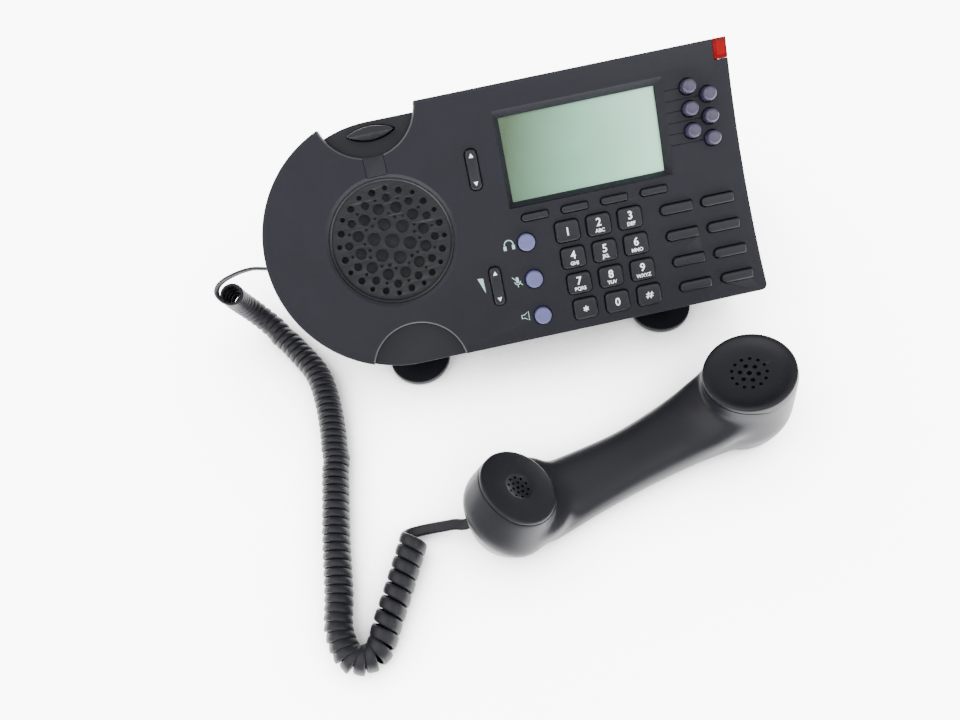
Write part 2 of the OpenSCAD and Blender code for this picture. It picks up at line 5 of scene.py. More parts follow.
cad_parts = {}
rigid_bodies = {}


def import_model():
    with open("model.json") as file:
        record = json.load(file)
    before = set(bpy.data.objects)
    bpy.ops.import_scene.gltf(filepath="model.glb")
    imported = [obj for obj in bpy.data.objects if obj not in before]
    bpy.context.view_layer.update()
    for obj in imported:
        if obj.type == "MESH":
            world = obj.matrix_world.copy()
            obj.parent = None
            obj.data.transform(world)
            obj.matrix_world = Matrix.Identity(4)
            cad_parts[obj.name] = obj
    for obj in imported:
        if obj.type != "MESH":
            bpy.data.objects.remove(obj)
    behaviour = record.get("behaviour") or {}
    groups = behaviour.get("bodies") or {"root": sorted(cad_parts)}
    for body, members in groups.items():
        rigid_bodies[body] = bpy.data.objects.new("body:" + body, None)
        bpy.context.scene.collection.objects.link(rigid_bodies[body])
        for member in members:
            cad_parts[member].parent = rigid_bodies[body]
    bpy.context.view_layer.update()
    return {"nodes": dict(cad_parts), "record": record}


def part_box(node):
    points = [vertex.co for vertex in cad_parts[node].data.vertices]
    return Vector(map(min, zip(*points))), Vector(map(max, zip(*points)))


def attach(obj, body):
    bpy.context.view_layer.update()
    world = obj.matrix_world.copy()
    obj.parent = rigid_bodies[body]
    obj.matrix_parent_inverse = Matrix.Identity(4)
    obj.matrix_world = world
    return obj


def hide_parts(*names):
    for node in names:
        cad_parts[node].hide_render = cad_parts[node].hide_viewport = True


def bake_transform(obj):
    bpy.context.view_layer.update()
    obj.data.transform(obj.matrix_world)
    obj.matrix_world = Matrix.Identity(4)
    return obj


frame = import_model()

S = 0.001

# ---------------------------------------------------------------- frames
# The phone's own corner, found from the rubber feet, so that every length
# below is in the phone's own millimetres.
_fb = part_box("rubber_feet")
OX = 47.7 - _fb[0][0] * 1000
OY = 4.8 - _fb[0][1] * 1000
TILT = math.radians(42.0)
CT, ST = math.cos(TILT), math.sin(TILT)
EDGE_Z = 36.0
TURN = math.radians(14.0)
CH, SH = math.cos(TURN), math.sin(TURN)


def P(x, y, z):
    return Vector(((x - OX) * S, (y - OY) * S, z * S))


def F(u, v, w=0.0):
    return P(u, v * CT - w * ST, EDGE_Z + v * ST + w * CT)


def H(p, q, z):
    return P(102 + p * CH - q * SH, -79 + p * SH + q * CH, z)


# ---------------------------------------------------------------- camera
scene = bpy.context.scene
cam_data = bpy.data.cameras.new("camera")
cam_data.sensor_width = 36.0
cam_data.sensor_fit = "HORIZONTAL"
cam_data.lens = 28.5
cam_data.clip_start = 0.01
cam_data.clip_end = 20
cam = bpy.data.objects.new("camera", cam_data)
scene.collection.objects.link(cam)
c_right = Vector((0.9773, -0.1986, -0.0742)).normalized()
c_fwd = Vector((0.022, 0.443, -0.8962)).normalized()
c_right = (c_right - c_right.dot(c_fwd) * c_fwd).normalized()
c_up = c_right.cross(c_fwd).normalized()
M = Matrix((
    (c_right.x, c_up.x, -c_fwd.x, 0),
    (c_right.y, c_up.y, -c_fwd.y, 0),
    (c_right.z, c_up.z, -c_fwd.z, 0),
    (0, 0, 0, 1)))
M.translation = P(88.4, -185.4, 400.2)
cam.matrix_world = M
scene.camera = cam


# ---------------------------------------------------------------- materials
def nodes_of(name):
    m = bpy.data.materials.new(name)
    m.use_nodes = True
    nt = m.node_tree
    for n in list(nt.nodes):
        nt.nodes.remove(n)
    out = nt.nodes.new("ShaderNodeOutputMaterial")
    b = nt.nodes.new("ShaderNodeBsdfPrincipled")
    nt.links.new(b.outputs[0], out.inputs[0])
    return m, nt, b, out


def rgb(c, k=1.0):
    return (c[0] * k, c[1] * k, c[2] * k, 1.0)


def moulded(name, color, rough=0.45, grain=2600.0, bump=0.35, vary=0.10, cloud=60.0,
            coat=0.0, spec=0.5, edge=0.25, rough_var=0.08, bump_d=0.00006):
    """Moulded plastic: spark-eroded grain, slow tone drift, and a painted highlight that makes sharp convex edges a
    little lighter.
    """
    m, nt, b, out = nodes_of(name)
    L = nt.links
    tc = nt.nodes.new("ShaderNodeTexCoord")
    fine = nt.nodes.new("ShaderNodeTexNoise")
    fine.inputs["Scale"].default_value = grain
    fine.inputs["Detail"].default_value = 3.0
    slow = nt.nodes.new("ShaderNodeTexNoise")
    slow.inputs["Scale"].default_value = cloud
    slow.inputs["Detail"].default_value = 4.0
    L.new(tc.outputs["Object"], fine.inputs["Vector"])
    L.new(tc.outputs["Object"], slow.inputs["Vector"])
    ramp = nt.nodes.new("ShaderNodeValToRGB")
    ramp.color_ramp.elements[0].position = 0.3
    ramp.color_ramp.elements[0].color = rgb(color, 1 - vary)
    ramp.color_ramp.elements[1].position = 0.7
    ramp.color_ramp.elements[1].color = rgb(color, 1 + vary)
    L.new(slow.outputs["Fac"], ramp.inputs["Fac"])
    # painted highlight: high pointiness (sharp convex edges) mixes the colour towards a lighter grey, by the edge
    # amount
    geo = nt.nodes.new("ShaderNodeNewGeometry")
    er = nt.nodes.new("ShaderNodeMapRange")
    er.inputs["From Min"].default_value = 0.53
    er.inputs["From Max"].default_value = 0.62
    er.inputs["To Min"].default_value = 0.0
    er.inputs["To Max"].default_value = edge
    L.new(geo.outputs["Pointiness"], er.inputs["Value"])
    mix = nt.nodes.new("ShaderNodeMix")
    mix.data_type = "RGBA"
    L.new(er.outputs["Result"], mix.inputs["Factor"])
    L.new(ramp.outputs["Color"], mix.inputs["A"])
    mix.inputs["B"].default_value = rgb([min(1, c * 1.8 + 0.03) for c in color])
    L.new(mix.outputs["Result"], b.inputs["Base Color"])
    rr = nt.nodes.new("ShaderNodeMapRange")
    rr.inputs["To Min"].default_value = rough - rough_var
    rr.inputs["To Max"].default_value = rough + rough_var
    L.new(slow.outputs["Fac"], rr.inputs["Value"])
    L.new(rr.outputs["Result"], b.inputs["Roughness"])
    bp = nt.nodes.new("ShaderNodeBump")
    bp.inputs["Strength"].default_value = bump
    bp.inputs["Distance"].default_value = bump_d
    L.new(fine.outputs["Fac"], bp.inputs["Height"])
    L.new(bp.outputs["Normal"], b.inputs["Normal"])
    b.inputs["Specular IOR Level"].default_value = spec
    if coat:
        b.inputs["Coat Weight"].default_value = coat
        b.inputs["Coat Roughness"].default_value = 0.2
    return m


def metal(name, color, rough=0.3):
    m = moulded(name, color, rough, grain=1800, bump=0.15, vary=0.05, edge=0.1)
    m.node_tree.nodes["Principled BSDF"].inputs["Metallic"].default_value = 1.0
    return m


M_housing = moulded("charcoal_plastic", (0.0100, 0.0100, 0.0143), 0.48, bump=0.5, vary=0.06, spec=0.20)
M_key = moulded("key_plastic", (0.0092, 0.0093, 0.0132), 0.40, bump=0.3, vary=0.05, spec=0.28)
M_dark = moulded("dark_plastic", (0.0070, 0.0070, 0.0100), 0.42, bump=0.4, vary=0.08, spec=0.28)
M_grille = moulded("grille_plastic", (0.0058, 0.0058, 0.0078), 0.36, bump=0.2, vary=0.06, spec=0.30)
M_lilac = moulded("lilac_plastic", (0.092, 0.094, 0.225), 0.38, bump=0.2, vary=0.05, edge=0.1)
M_lilac2 = moulded("lilac_plastic_small", (0.037, 0.033, 0.063), 0.38, bump=0.2, vary=0.05, edge=0.1)
M_hand = moulded("handset_plastic", (0.0074, 0.0073, 0.0104), 0.42, spec=0.25, grain=2200, bump=0.45, vary=0.10, cloud=40)
M_cord = moulded("cord_jacket", (0.0098, 0.0096, 0.0128), 0.46, spec=0.26, grain=900, bump=0.25, vary=0.12, cloud=90, rough_var=0.06)
M_rubber = moulded("foot_rubber", (0.012, 0.012, 0.012), 0.75, grain=1500, bump=0.5, vary=0.15)
M_steel = metal("zinc_screw", (0.62, 0.62, 0.64), 0.32)
M_board = moulded("solder_mask", (0.02, 0.11, 0.05), 0.4, grain=400, bump=0.2, vary=0.15)
M_membrane = moulded("membrane_rubber", (0.45, 0.45, 0.43), 0.6, vary=0.05)
M_cone = moulded("speaker_cone", (0.0085, 0.0085, 0.0100), 0.7, grain=1200, bump=0.8, vary=0.15)
M_socket = moulded("socket_plastic", (0.022, 0.022, 0.024), 0.32, bump=0.2)
M_gold = metal("gold_contact", (0.85, 0.60, 0.22), 0.25)
M_plug = moulded("plug_plastic", (0.018, 0.018, 0.020), 0.22, bump=0.15, vary=0.1)
M_print = moulded("white_print", (0.90, 0.92, 0.95), 0.55, grain=5000, bump=0.15, vary=0.04, edge=0.0)
M_print_soft = moulded("grey_print", (0.36, 0.40, 0.42), 0.55, grain=5000, bump=0.15, vary=0.04, edge=0.0)
M_mint = moulded("mint_print", (0.34, 0.50, 0.46), 0.55, grain=5000, bump=0.15, vary=0.05, edge=0.0)
# black material: the capsules' colour, and painted shade in the handset's sound holes and ear slot
M_black = moulded("black_felt", (0.0012, 0.0012, 0.0015), 0.95, grain=800, bump=0.6, vary=0.2, spec=0.05, edge=0.0)
# painted highlight: lighter greys for the bevel faces of the notch edges and the left rim, assigned below
M_edge = moulded("painted_edge_highlight", (0.036, 0.036, 0.042), 0.38, bump=0.3, vary=0.10, spec=0.4, edge=0.0)
M_edge2 = moulded("painted_edge_highlight_soft", (0.034, 0.034, 0.040), 0.42, bump=0.3, vary=0.10, spec=0.35, edge=0.0)


def display_material():
    m, nt, b, out = nodes_of("display_green")
    L = nt.links
    tc = nt.nodes.new("ShaderNodeTexCoord")
    sep = nt.nodes.new("ShaderNodeSeparateXYZ")
    L.new(tc.outputs["Object"], sep.inputs[0])
    x0, x1 = F(131, 94)[0], F(211.5, 94)[0]
    z0, z1 = F(171, 73)[2], F(171, 115.5)[2]
    mx = nt.nodes.new("ShaderNodeMapRange")
    mx.inputs["From Min"].default_value = x0
    mx.inputs["From Max"].default_value = x1
    L.new(sep.outputs["X"], mx.inputs["Value"])
    mz = nt.nodes.new("ShaderNodeMapRange")
    mz.inputs["From Min"].default_value = z0
    mz.inputs["From Max"].default_value = z1
    mz.inputs["To Min"].default_value = 0.10
    mz.inputs["To Max"].default_value = -0.10
    L.new(sep.outputs["Z"], mz.inputs["Value"])
    no = nt.nodes.new("ShaderNodeTexNoise")
    no.inputs["Scale"].default_value = 25
    L.new(tc.outputs["Object"], no.inputs["Vector"])
    nm = nt.nodes.new("ShaderNodeMapRange")
    nm.inputs["To Min"].default_value = -0.05
    nm.inputs["To Max"].default_value = 0.05
    L.new(no.outputs["Fac"], nm.inputs["Value"])
    a1 = nt.nodes.new("ShaderNodeMath")
    L.new(mx.outputs["Result"], a1.inputs[0])
    L.new(mz.outputs["Result"], a1.inputs[1])
    a2 = nt.nodes.new("ShaderNodeMath")
    L.new(a1.outputs[0], a2.inputs[0])
    L.new(nm.outputs["Result"], a2.inputs[1])
    ramp = nt.nodes.new("ShaderNodeValToRGB")
    e = ramp.color_ramp.elements
    e[0].position = 0.0
    e[0].color = (0.115, 0.175, 0.10, 1)
    e[1].position = 1.0
    e[1].color = (0.66, 0.98, 0.80, 1)
    k = e.new(0.5)
    k.color = (0.36, 0.66, 0.48, 1)
    L.new(a2.outputs[0], ramp.inputs["Fac"])
    # faint dot grid of the unlit liquid crystal
    ck = nt.nodes.new("ShaderNodeTexChecker")
    ck.inputs["Scale"].default_value = 1600
    L.new(tc.outputs["Object"], ck.inputs["Vector"])
    mix = nt.nodes.new("ShaderNodeMix")
    mix.data_type = "RGBA"
    mix.blend_type = "MULTIPLY"
    mix.inputs["Factor"].default_value = 0.03
    L.new(ramp.outputs["Color"], mix.inputs["A"])
    L.new(ck.outputs["Color"], mix.inputs["B"])
    L.new(mix.outputs["Result"], b.inputs["Base Color"])
    L.new(mix.outputs["Result"], b.inputs["Emission Color"])
    b.inputs["Emission Strength"].default_value = 0.32
    b.inputs["Roughness"].default_value = 0.35
    b.inputs["Specular IOR Level"].default_value = 0.15
    return m


def lens_material():
    m, nt, b, out = nodes_of("display_window")
    L = nt.links
    tr = nt.nodes.new("ShaderNodeBsdfTransparent")
    tr.inputs["Color"].default_value = (0.97, 0.985, 0.98, 1)
    gl = nt.nodes.new("ShaderNodeBsdfGlossy")
    no = nt.nodes.new("ShaderNodeTexNoise")
    no.inputs["Scale"].default_value = 300
    mr = nt.nodes.new("ShaderNodeMapRange")
    mr.inputs["To Min"].default_value = 0.05
    mr.inputs["To Max"].default_value = 0.12
    L.new(no.outputs["Fac"], mr.inputs["Value"])
    L.new(mr.outputs["Result"], gl.inputs["Roughness"])
    fr = nt.nodes.new("ShaderNodeFresnel")
    fr.inputs["IOR"].default_value = 1.27
    mx = nt.nodes.new("ShaderNodeMixShader")
    L.new(fr.outputs[0], mx.inputs[0])
    L.new(tr.outputs[0], mx.inputs[1])
    L.new(gl.outputs[0], mx.inputs[2])
    L.new(mx.outputs[0], out.inputs[0])
    nt.nodes.remove(b)
    return m


def lamp_material():
    m, nt, b, out = nodes_of("lamp_red")
    L = nt.links
    tc = nt.nodes.new("ShaderNodeTexCoord")
    no = nt.nodes.new("ShaderNodeTexNoise")
    no.inputs["Scale"].default_value = 350
    no.inputs["Detail"].default_value = 3
    L.new(tc.outputs["Object"], no.inputs["Vector"])
    ramp = nt.nodes.new("ShaderNodeValToRGB")
    ramp.color_ramp.elements[0].color = (0.11, 0.0001, 0.0008, 1)
    ramp.color_ramp.elements[1].color = (0.21, 0.0003, 0.0018, 1)
    L.new(no.outputs["Fac"], ramp.inputs["Fac"])
    L.new(ramp.outputs["Color"], b.inputs["Base Color"])
    b.inputs["Roughness"].default_value = 0.22
    b.inputs["Subsurface Weight"].default_value = 0.15
    b.inputs["Subsurface Scale"].default_value = 0.002
    b.inputs["Specular IOR Level"].default_value = 0.12
    return m


M_display = display_material()
M_lens = lens_material()
M_lamp = lamp_material()
M_lamp_in = moulded("lamp_bright", (0.24, 0.0004, 0.002), 0.35, grain=900, bump=0.1, vary=0.12, edge=0.0, spec=0.08)


# ---------------------------------------------------------------- mesh helpers
def add(name, verts, faces, mat, body, replaces=None, slot=None, angle=32.0, smooth=True):
    me = bpy.data.meshes.new(name)
    me.from_pydata([tuple(v) for v in verts], [], faces)
    me.validate()
    return finish_mesh(name, me, mat, body, replaces, slot, angle, smooth)


def finish_mesh(name, me, mat, body, replaces=None, slot=None, angle=32.0, smooth=True, recalc=True, sharp=True):
    if recalc:
        bm = bmesh.new()
        bm.from_mesh(me)
        bmesh.ops.recalc_face_normals(bm, faces=bm.faces)
        bm.to_mesh(me)
        bm.free()
    for p in me.polygons:
        p.use_smooth = smooth
    if smooth and sharp:
        me.set_sharp_from_angle(angle=math.radians(angle))
    me.materials.clear()
    me.materials.append(mat)
    o = bpy.data.objects.new(name, me)
    scene.collection.objects.link(o)
    if body:
        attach(o, body)
    if replaces:
        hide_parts(*([replaces] if isinstance(replaces, str) else replaces))
    return o


def evaluated(o):
    dg = bpy.context.evaluated_depsgraph_get()
    dg.update()
    me = bpy.data.meshes.new_from_object(o.evaluated_get(dg))
    return me


def body_of_node(n):
    for b, ns in frame["record"]["behaviour"]["bodies"].items():
        if n in ns:
            return b
    raise KeyError(n)


def soften(node, mat, width=0.3, seg=2, keep=None, angle=35.0, slot=None, name=None):
    """A copy of a CAD piece with its moulded edges rounded off."""
    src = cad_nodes[node]
    bm = bmesh.new()
    bm.from_mesh(src.data)
    bmesh.ops.remove_doubles(bm, verts=bm.verts, dist=2e-6)
    bmesh.ops.dissolve_limit(bm, angle_limit=math.radians(0.6), verts=bm.verts, edges=bm.edges)
    bmesh.ops.dissolve_degenerate(bm, dist=2e-6, edges=bm.edges)
    lay = bm.edges.layers.float.get("bevel_weight_edge") or bm.edges.layers.float.new("bevel_weight_edge")
    lim = math.radians(angle)
    for e in bm.edges:
        wgt = 0.0
        if len(e.link_faces) == 2 and e.calc_face_angle(0) > lim:
            wgt = 1.0
            if keep is not None:
                wgt = keep((e.verts[0].co + e.verts[1].co) / 2)
        e[lay] = wgt
    me = bpy.data.meshes.new((name or node) + "_m")
    bm.to_mesh(me)
    bm.free()
    tmp = bpy.data.objects.new("tmp_" + node, me)
    scene.collection.objects.link(tmp)
    mod = tmp.modifiers.new("b", "BEVEL")
    mod.width = width * S
    mod.segments = seg
    mod.limit_method = "WEIGHT"
    mod.use_clamp_overlap = False
    mod.loop_slide = True
    mod.miter_outer = "MITER_ARC"
    out = evaluated(tmp)
    bpy.data.objects.remove(tmp)
    o = finish_mesh(name or (node + "_skin"), out, mat, body_of_node(node), node, slot or slot_of[node], angle=31, recalc=False)
    for p in o.data.polygons:
        if len(p.vertices) > 6:
            p.use_smooth = False
    return o


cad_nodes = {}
for o in bpy.data.objects:
    if o.type == "MESH" and o.name in frame["nodes"]:
        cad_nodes[o.name] = o
slot_of = {d["node"]: d["material_slot"] for d in frame["record"]["subparts"]}


def rrect(w, h, r, n=6):
    pts = []
    for cx, cy, a0 in ((w / 2 - r, h / 2 - r, 0), (-w / 2 + r, h / 2 - r, 90), (-w / 2 + r, -h / 2 + r, 180), (w / 2 - r, -h / 2 + r, 270)):
        for i in range(n + 1):
            a = math.radians(a0 + 90 * i / n)
            pts.append((cx + r * math.cos(a), cy + r * math.sin(a)))
    return pts


def dshape(w, h, r=0.8):
    """Full round on the left, small corner rounds on the right, centred."""
    pts = []
    for i in range(5):
        a = math.radians(90 * i / 4)
        pts.append((w / 2 - r + r * math.cos(a), h / 2 - r + r * math.sin(a)))
    for i in range(13):
        a = math.radians(90 + 180 * i / 12)
        pts.append((-w / 2 + h / 2 + h / 2 * math.cos(a), h / 2 * math.sin(a)))
    for i in range(5):
        a = math.radians(270 + 90 * i / 4)
        pts.append((w / 2 - r + r * math.cos(a), -h / 2 + r + r * math.sin(a)))
    return pts


def circle_pts(r, n=40):
    return [(r * math.cos(2 * math.pi * i / n), r * math.sin(2 * math.pi * i / n)) for i in range(n)]


def cap(name, node, body, pts, cu, cv, levels, mat, apex=None, fold=None):
    """Loft a key from its outline: levels are (w, inset), apex closes the crown."""
    hw = max(abs(p[0]) for p in pts)
    hh = max(abs(p[1]) for p in pts)
    verts, faces, n = [], [], len(pts)
    for w, ins in levels:
        for x, y in pts:
            X = x * (hw - ins) / hw
            Y = y * (hh - ins) / hh
            ww = w + (fold(X, Y) if fold and w > 0 else 0)
            verts.append(F(cu + X, cv + Y, ww))
    for k in range(len(levels) - 1):
        for i in range(n):
            a, b = k * n + i, k * n + (i + 1) % n
            faces.append((a, b, b + n, a + n))
    faces.append(tuple(reversed(range(n))))
    base = (len(levels) - 1) * n
    if apex is None:
        faces.append(tuple(base + i for i in range(n)))
    else:
        verts.append(F(cu, cv, apex + (fold(0, 0) if fold else 0)))
        for i in range(n):
            faces.append((base + i, base + (i + 1) % n, len(verts) - 1))
    return add(name, verts, faces, mat, body, node, slot_of[node], angle=40)


def flat_shape(name, polys, to, mat, body, t=0.05, slot="keys"):
    """Thin printed shapes: each poly is a list of (x, y); to maps (x, y, h) to space."""
    verts, faces = [], []
    for poly in polys:
        n, k = len(poly), len(verts)
        for x, y in poly:
            verts.append(to(x, y, 0.0))
        for x, y in poly:
            verts.append(to(x, y, t))
        faces.append(tuple(range(k + n - 1, k - 1, -1)))
        faces.append(tuple(range(k + n, k + 2 * n)))
        for i in range(n):
            j = (i + 1) % n
            faces.append((k + i, k + j, k + n + j, k + n + i))
    return add(name, verts, faces, mat, body, None, slot, smooth=False)


def ribbon(pts, w, closed=False):
    """Quads of width w along a polyline, as separate polys."""
    out = []
    m = len(pts)
    nrm = []
    for i in range(m):
        a = pts[(i - 1) % m] if (closed or i > 0) else pts[i]
        b = pts[(i + 1) % m] if (closed or i < m - 1) else pts[i]
        dx, dy = b[0] - a[0], b[1] - a[1]
        l = math.hypot(dx, dy) or 1
        nrm.append((-dy / l, dx / l))
    for i in range(m if closed else m - 1):
        j = (i + 1) % m
        a, b, na, nb = pts[i], pts[j], nrm[i], nrm[j]
        h = w / 2
        out.append([(a[0] + na[0] * h, a[1] + na[1] * h), (a[0] - na[0] * h, a[1] - na[1] * h),
                    (b[0] - nb[0] * h, b[1] - nb[1] * h), (b[0] + nb[0] * h, b[1] + nb[1] * h)])
    return out


def text_piece(name, s, size, to, mat, body, bold=0.0, xscale=1.0, slot="keys", t=0.05):
    """Raised print made from the built-in font, centred on (0, 0)."""
    cu = bpy.data.curves.new("txt", "FONT")
    cu.body = s
    cu.size = size
    cu.align_x = "CENTER"
    cu.align_y = "CENTER"
    cu.offset = bold
    cu.extrude = t / 2
    cu.resolution_u = 3
    o = bpy.data.objects.new("txt", cu)
    scene.collection.objects.link(o)
    me = evaluated(o)
    bpy.data.objects.remove(o)
    xs = [v.co.x for v in me.vertices]
    ys = [v.co.y for v in me.vertices]
    mx, my = (min(xs) + max(xs)) / 2, (min(ys) + max(ys)) / 2
    for v in me.vertices:
        v.co = to((v.co.x - mx) * xscale, v.co.y - my, v.co.z + t / 2)
    bm = bmesh.new()
    bm.from_mesh(me)
    bmesh.ops.remove_doubles(bm, verts=bm.verts, dist=1e-6)
    bm.to_mesh(me)
    bm.free()
    return finish_mesh(name, me, mat, body, None, slot, smooth=False, recalc=False)


# ---------------------------------------------------------------- the cord
def smooth(p, k):
    out, n = [], len(p)
    for i in range(n - 1):
        a, b, c, d = p[max(i - 1, 0)], p[i], p[i + 1], p[min(i + 2, n - 1)]
        for j in range(k):
            t = j / k
            out.append(0.5 * ((2 * b) + (c - a) * t + (2 * a - 5 * b + 4 * c - d) * t * t + (3 * b - a - 3 * c + d) * t ** 3))
    out.append(p[-1])
    return out


def resample(pts, step):
    acc = [0.0]
    for a, b in zip(pts, pts[1:]):
        acc.append(acc[-1] + (b - a).length)
    n = max(2, int(round(acc[-1] / step)))
    out, k = [], 0
    for i in range(n + 1):
        s = acc[-1] * i / n
        while k < len(acc) - 2 and acc[k + 1] < s:
            k += 1
        f = (s - acc[k]) / max(acc[k + 1] - acc[k], 1e-12)
        out.append(pts[k].lerp(pts[k + 1], min(max(f, 0), 1)))
    return out


V = Vector
port_v, port_w = 64.0, -18.0
base_exit = V((-2.5, port_v * CT - port_w * ST, EDGE_Z + port_v * ST + port_w * CT))
coil_route = [V(p) for p in ([-30.9, 63.7, 44], [-31.6, 66.2, 37], [-31.2, 67.6, 30], [-29.4, 67.8, 23.5], [-26.2, 66.3, 17.2],
              [-21.4, 61.9, 12.4], [-14.6, 53.6, 9.2], [-5.9, 40, 8], [4, 22.4, 8], [8, 4, 8], [9, -20, 8], [7, -46, 8],
              [4, -75, 8], [2, -104, 8], [0, -122, 8], [5, -136, 8], [17, -136, 8], [25, -122, 8], [33.5, -106, 8], [43.9, -85.8, 9])]
jack_p, jack_q, jack_z = -25.6, 1.6, 15.0
hs_o = V((102, -79, 0))
hs_exit = hs_o + V((jack_p * CH - jack_q * SH, jack_p * SH + jack_q * CH, jack_z))
# the straight ends: out of the socket and over to the left, and from under the last turn to the handset
lead_a = [base_exit] + [V(p) for p in ((-6.5, 60.9, 65.4), (-11.9, 62.4, 65.0), (-18.6, 63.0, 63.6), (-24.0, 63.2, 61.6),
          (-29.1, 63.4, 59.0), (-33.7, 63.3, 55.4), (-36.5, 62.4, 51.4), (-36.9, 61.1, 47.8), (-36.0, 60.1, 45.2))]
lead_b = [V(p) for p in ((45.2, -80.3, 3.5), (49.4, -80.3, 3.9), (52.8, -80.7, 5.1), (56.6, -81.2, 6.6), (61.2, -82.0, 8.8),
          (66.2, -82.9, 11.4))] + [hs_exit - 5 * V((CH, SH, 0)) - V((0, 0, 0.6)), hs_exit]

axis_pts = resample(smooth(coil_route, 24), 0.25)


def table(rows, f):
    for (a, pa), (b, pb) in zip(rows, rows[1:]):
        if f <= b:
            return pa + (pb - pa) * (f - a) / (b - a)
    return rows[-1][1]


def pitch_at(f):
    """Spacing of the turns along the coil: pushed together on the left, pulled open towards the handset."""
    return table([(0, 3.4), (0.07, 3.4), (0.10, 4.0), (0.13, 4.5), (0.16, 4.8), (0.19, 4.2), (0.25, 4.4), (0.31, 4.15), (0.37, 3.9),
                  (0.43, 4.0), (0.45, 3.6), (0.48, 4.15), (0.54, 4.5), (0.60, 4.3), (0.72, 4.35), (0.79, 4.5), (0.825, 5.6), (0.85, 6.9),
                  (0.91, 6.9), (0.95, 6.5), (1.0, 6.2)], f)


def half_width(f):
    if f < 0.66:
        return 0.49 * pitch_at(f)
    return table([(0.66, 0.49 * pitch_at(0.66)), (0.74, 2.95), (1.0, 2.95)], f)


def half_thick(f):
    return table([(0, 0.95), (0.08, 1.05), (0.3, 1.3), (0.68, 1.3), (0.76, 1.05), (0.82, 1.15), (0.9, 1.35), (1.0, 1.35)], f)


def lean(f):
    """How far a turn's forward edge stands proud of the next turn, in radians."""
    return table([(0, 0.02), (0.08, 0.14), (0.66, 0.16), (0.74, 0.30), (0.80, 0.22), (0.86, 0.03), (1.0, 0.0)], f)


def outside(f):
    return table([(0, 13.6), (0.3, 15.0), (0.7, 15.5), (1.0, 15.4)], f) / 2


TURN_SIGN = -1.0
# parallel frames along the coil's own axis
tang = []
for i in range(len(axis_pts)):
    a = axis_pts[max(i - 1, 0)]
    b = axis_pts[min(i + 1, len(axis_pts) - 1)]
    tang.append((b - a).normalized())
nrm = []
n0 = V((0, 0, 1)) - tang[-1].z * tang[-1]
n0.normalize()
for t in reversed(tang):
    n0 = (n0 - n0.dot(t) * t).normalized()
    nrm.append(n0.copy())
nrm.reverse()
# the first turn starts low on the left, the last one ends on the left
r0 = (-0.55 * c_right - 0.83 * c_up)
r0 = (r0 - r0.dot(tang[0]) * tang[0]).normalized()
b0 = tang[0].cross(nrm[0])
a_start = math.atan2(TURN_SIGN * r0.dot(b0), r0.dot(nrm[0]))
a_end = math.atan2(TURN_SIGN * -1.0, 0.0)
phase = [0.0]
for i in range(1, len(axis_pts)):
    ds = (axis_pts[i] - axis_pts[i - 1]).length
    phase.append(phase[-1] + 2 * math.pi * ds / pitch_at(i / len(axis_pts)))
k_turn = round((phase[-1] - (a_end - a_start)) / (2 * math.pi))
want = (a_end - a_start) + 2 * math.pi * k_turn
phase = [p * want / phase[-1] for p in phase]
turns = want / (2 * math.pi)
PER = 20
steps = int(round(turns * PER))
helix, hnorm, hfrac = [], [], []
lo = 0
for k in range(steps + 1):
    ph = want * k / steps
    while lo < len(phase) - 2 and phase[lo + 1] < ph:
        lo += 1
    f = min(1.0, (ph - phase[lo]) / max(phase[lo + 1] - phase[lo], 1e-9))
    frac = (lo + f) / (len(phase) - 1)
    c = axis_pts[lo].lerp(axis_pts[lo + 1], f)
    t = tang[lo].lerp(tang[lo + 1], f).normalized()
    n = nrm[lo].lerp(nrm[lo + 1], f)
    n = (n - n.dot(t) * t).normalized()
    b = t.cross(n)
    a = a_start + ph
    rad = math.cos(a) * n + math.sin(a) * TURN_SIGN * b
    # two places where the turns have slipped sideways a little
    slip = 0.9 * math.exp(-((frac - 0.16) / 0.012) ** 2) - 0.9 * math.exp(-((frac - 0.445) / 0.012) ** 2)
    side = t.cross(V((0, 0, 1)))
    q = lean(frac)
    r = outside(frac) - half_width(frac) * math.sin(q) - half_thick(frac) * math.cos(q)
    helix.append(c + r * rad + slip * side)
    hnorm.append((math.cos(q) * rad - math.sin(q) * t).normalized())
    hfrac.append(frac)


def hermite(a, ta, b, tb, n, k=1.0):
    d = (b - a).length * k
    out = []
    for i in range(1, n):
        t = i / n
        h00 = 2 * t ** 3 - 3 * t ** 2 + 1
        h10 = t ** 3 - 2 * t ** 2 + t
        h01 = -2 * t ** 3 + 3 * t ** 2
        h11 = t ** 3 - t ** 2
        out.append(h00 * a + h10 * d * ta + h01 * b + h11 * d * tb)
    return out


A = resample(smooth(lead_a, 12), 1.3)
B = resample(smooth(lead_b, 12), 1.3)
tA = (A[-1] - A[-2]).normalized()
tB = (B[1] - B[0]).normalized()
th0 = (helix[1] - helix[0]).normalized()
th1 = (helix[-1] - helix[-2]).normalized()
ja = hermite(A[-1], tA, helix[0], th0, 6, 1.0)
jb = hermite(helix[-1], th1, B[0], tB, 10, 1.25)
path = A + ja + helix + jb + B
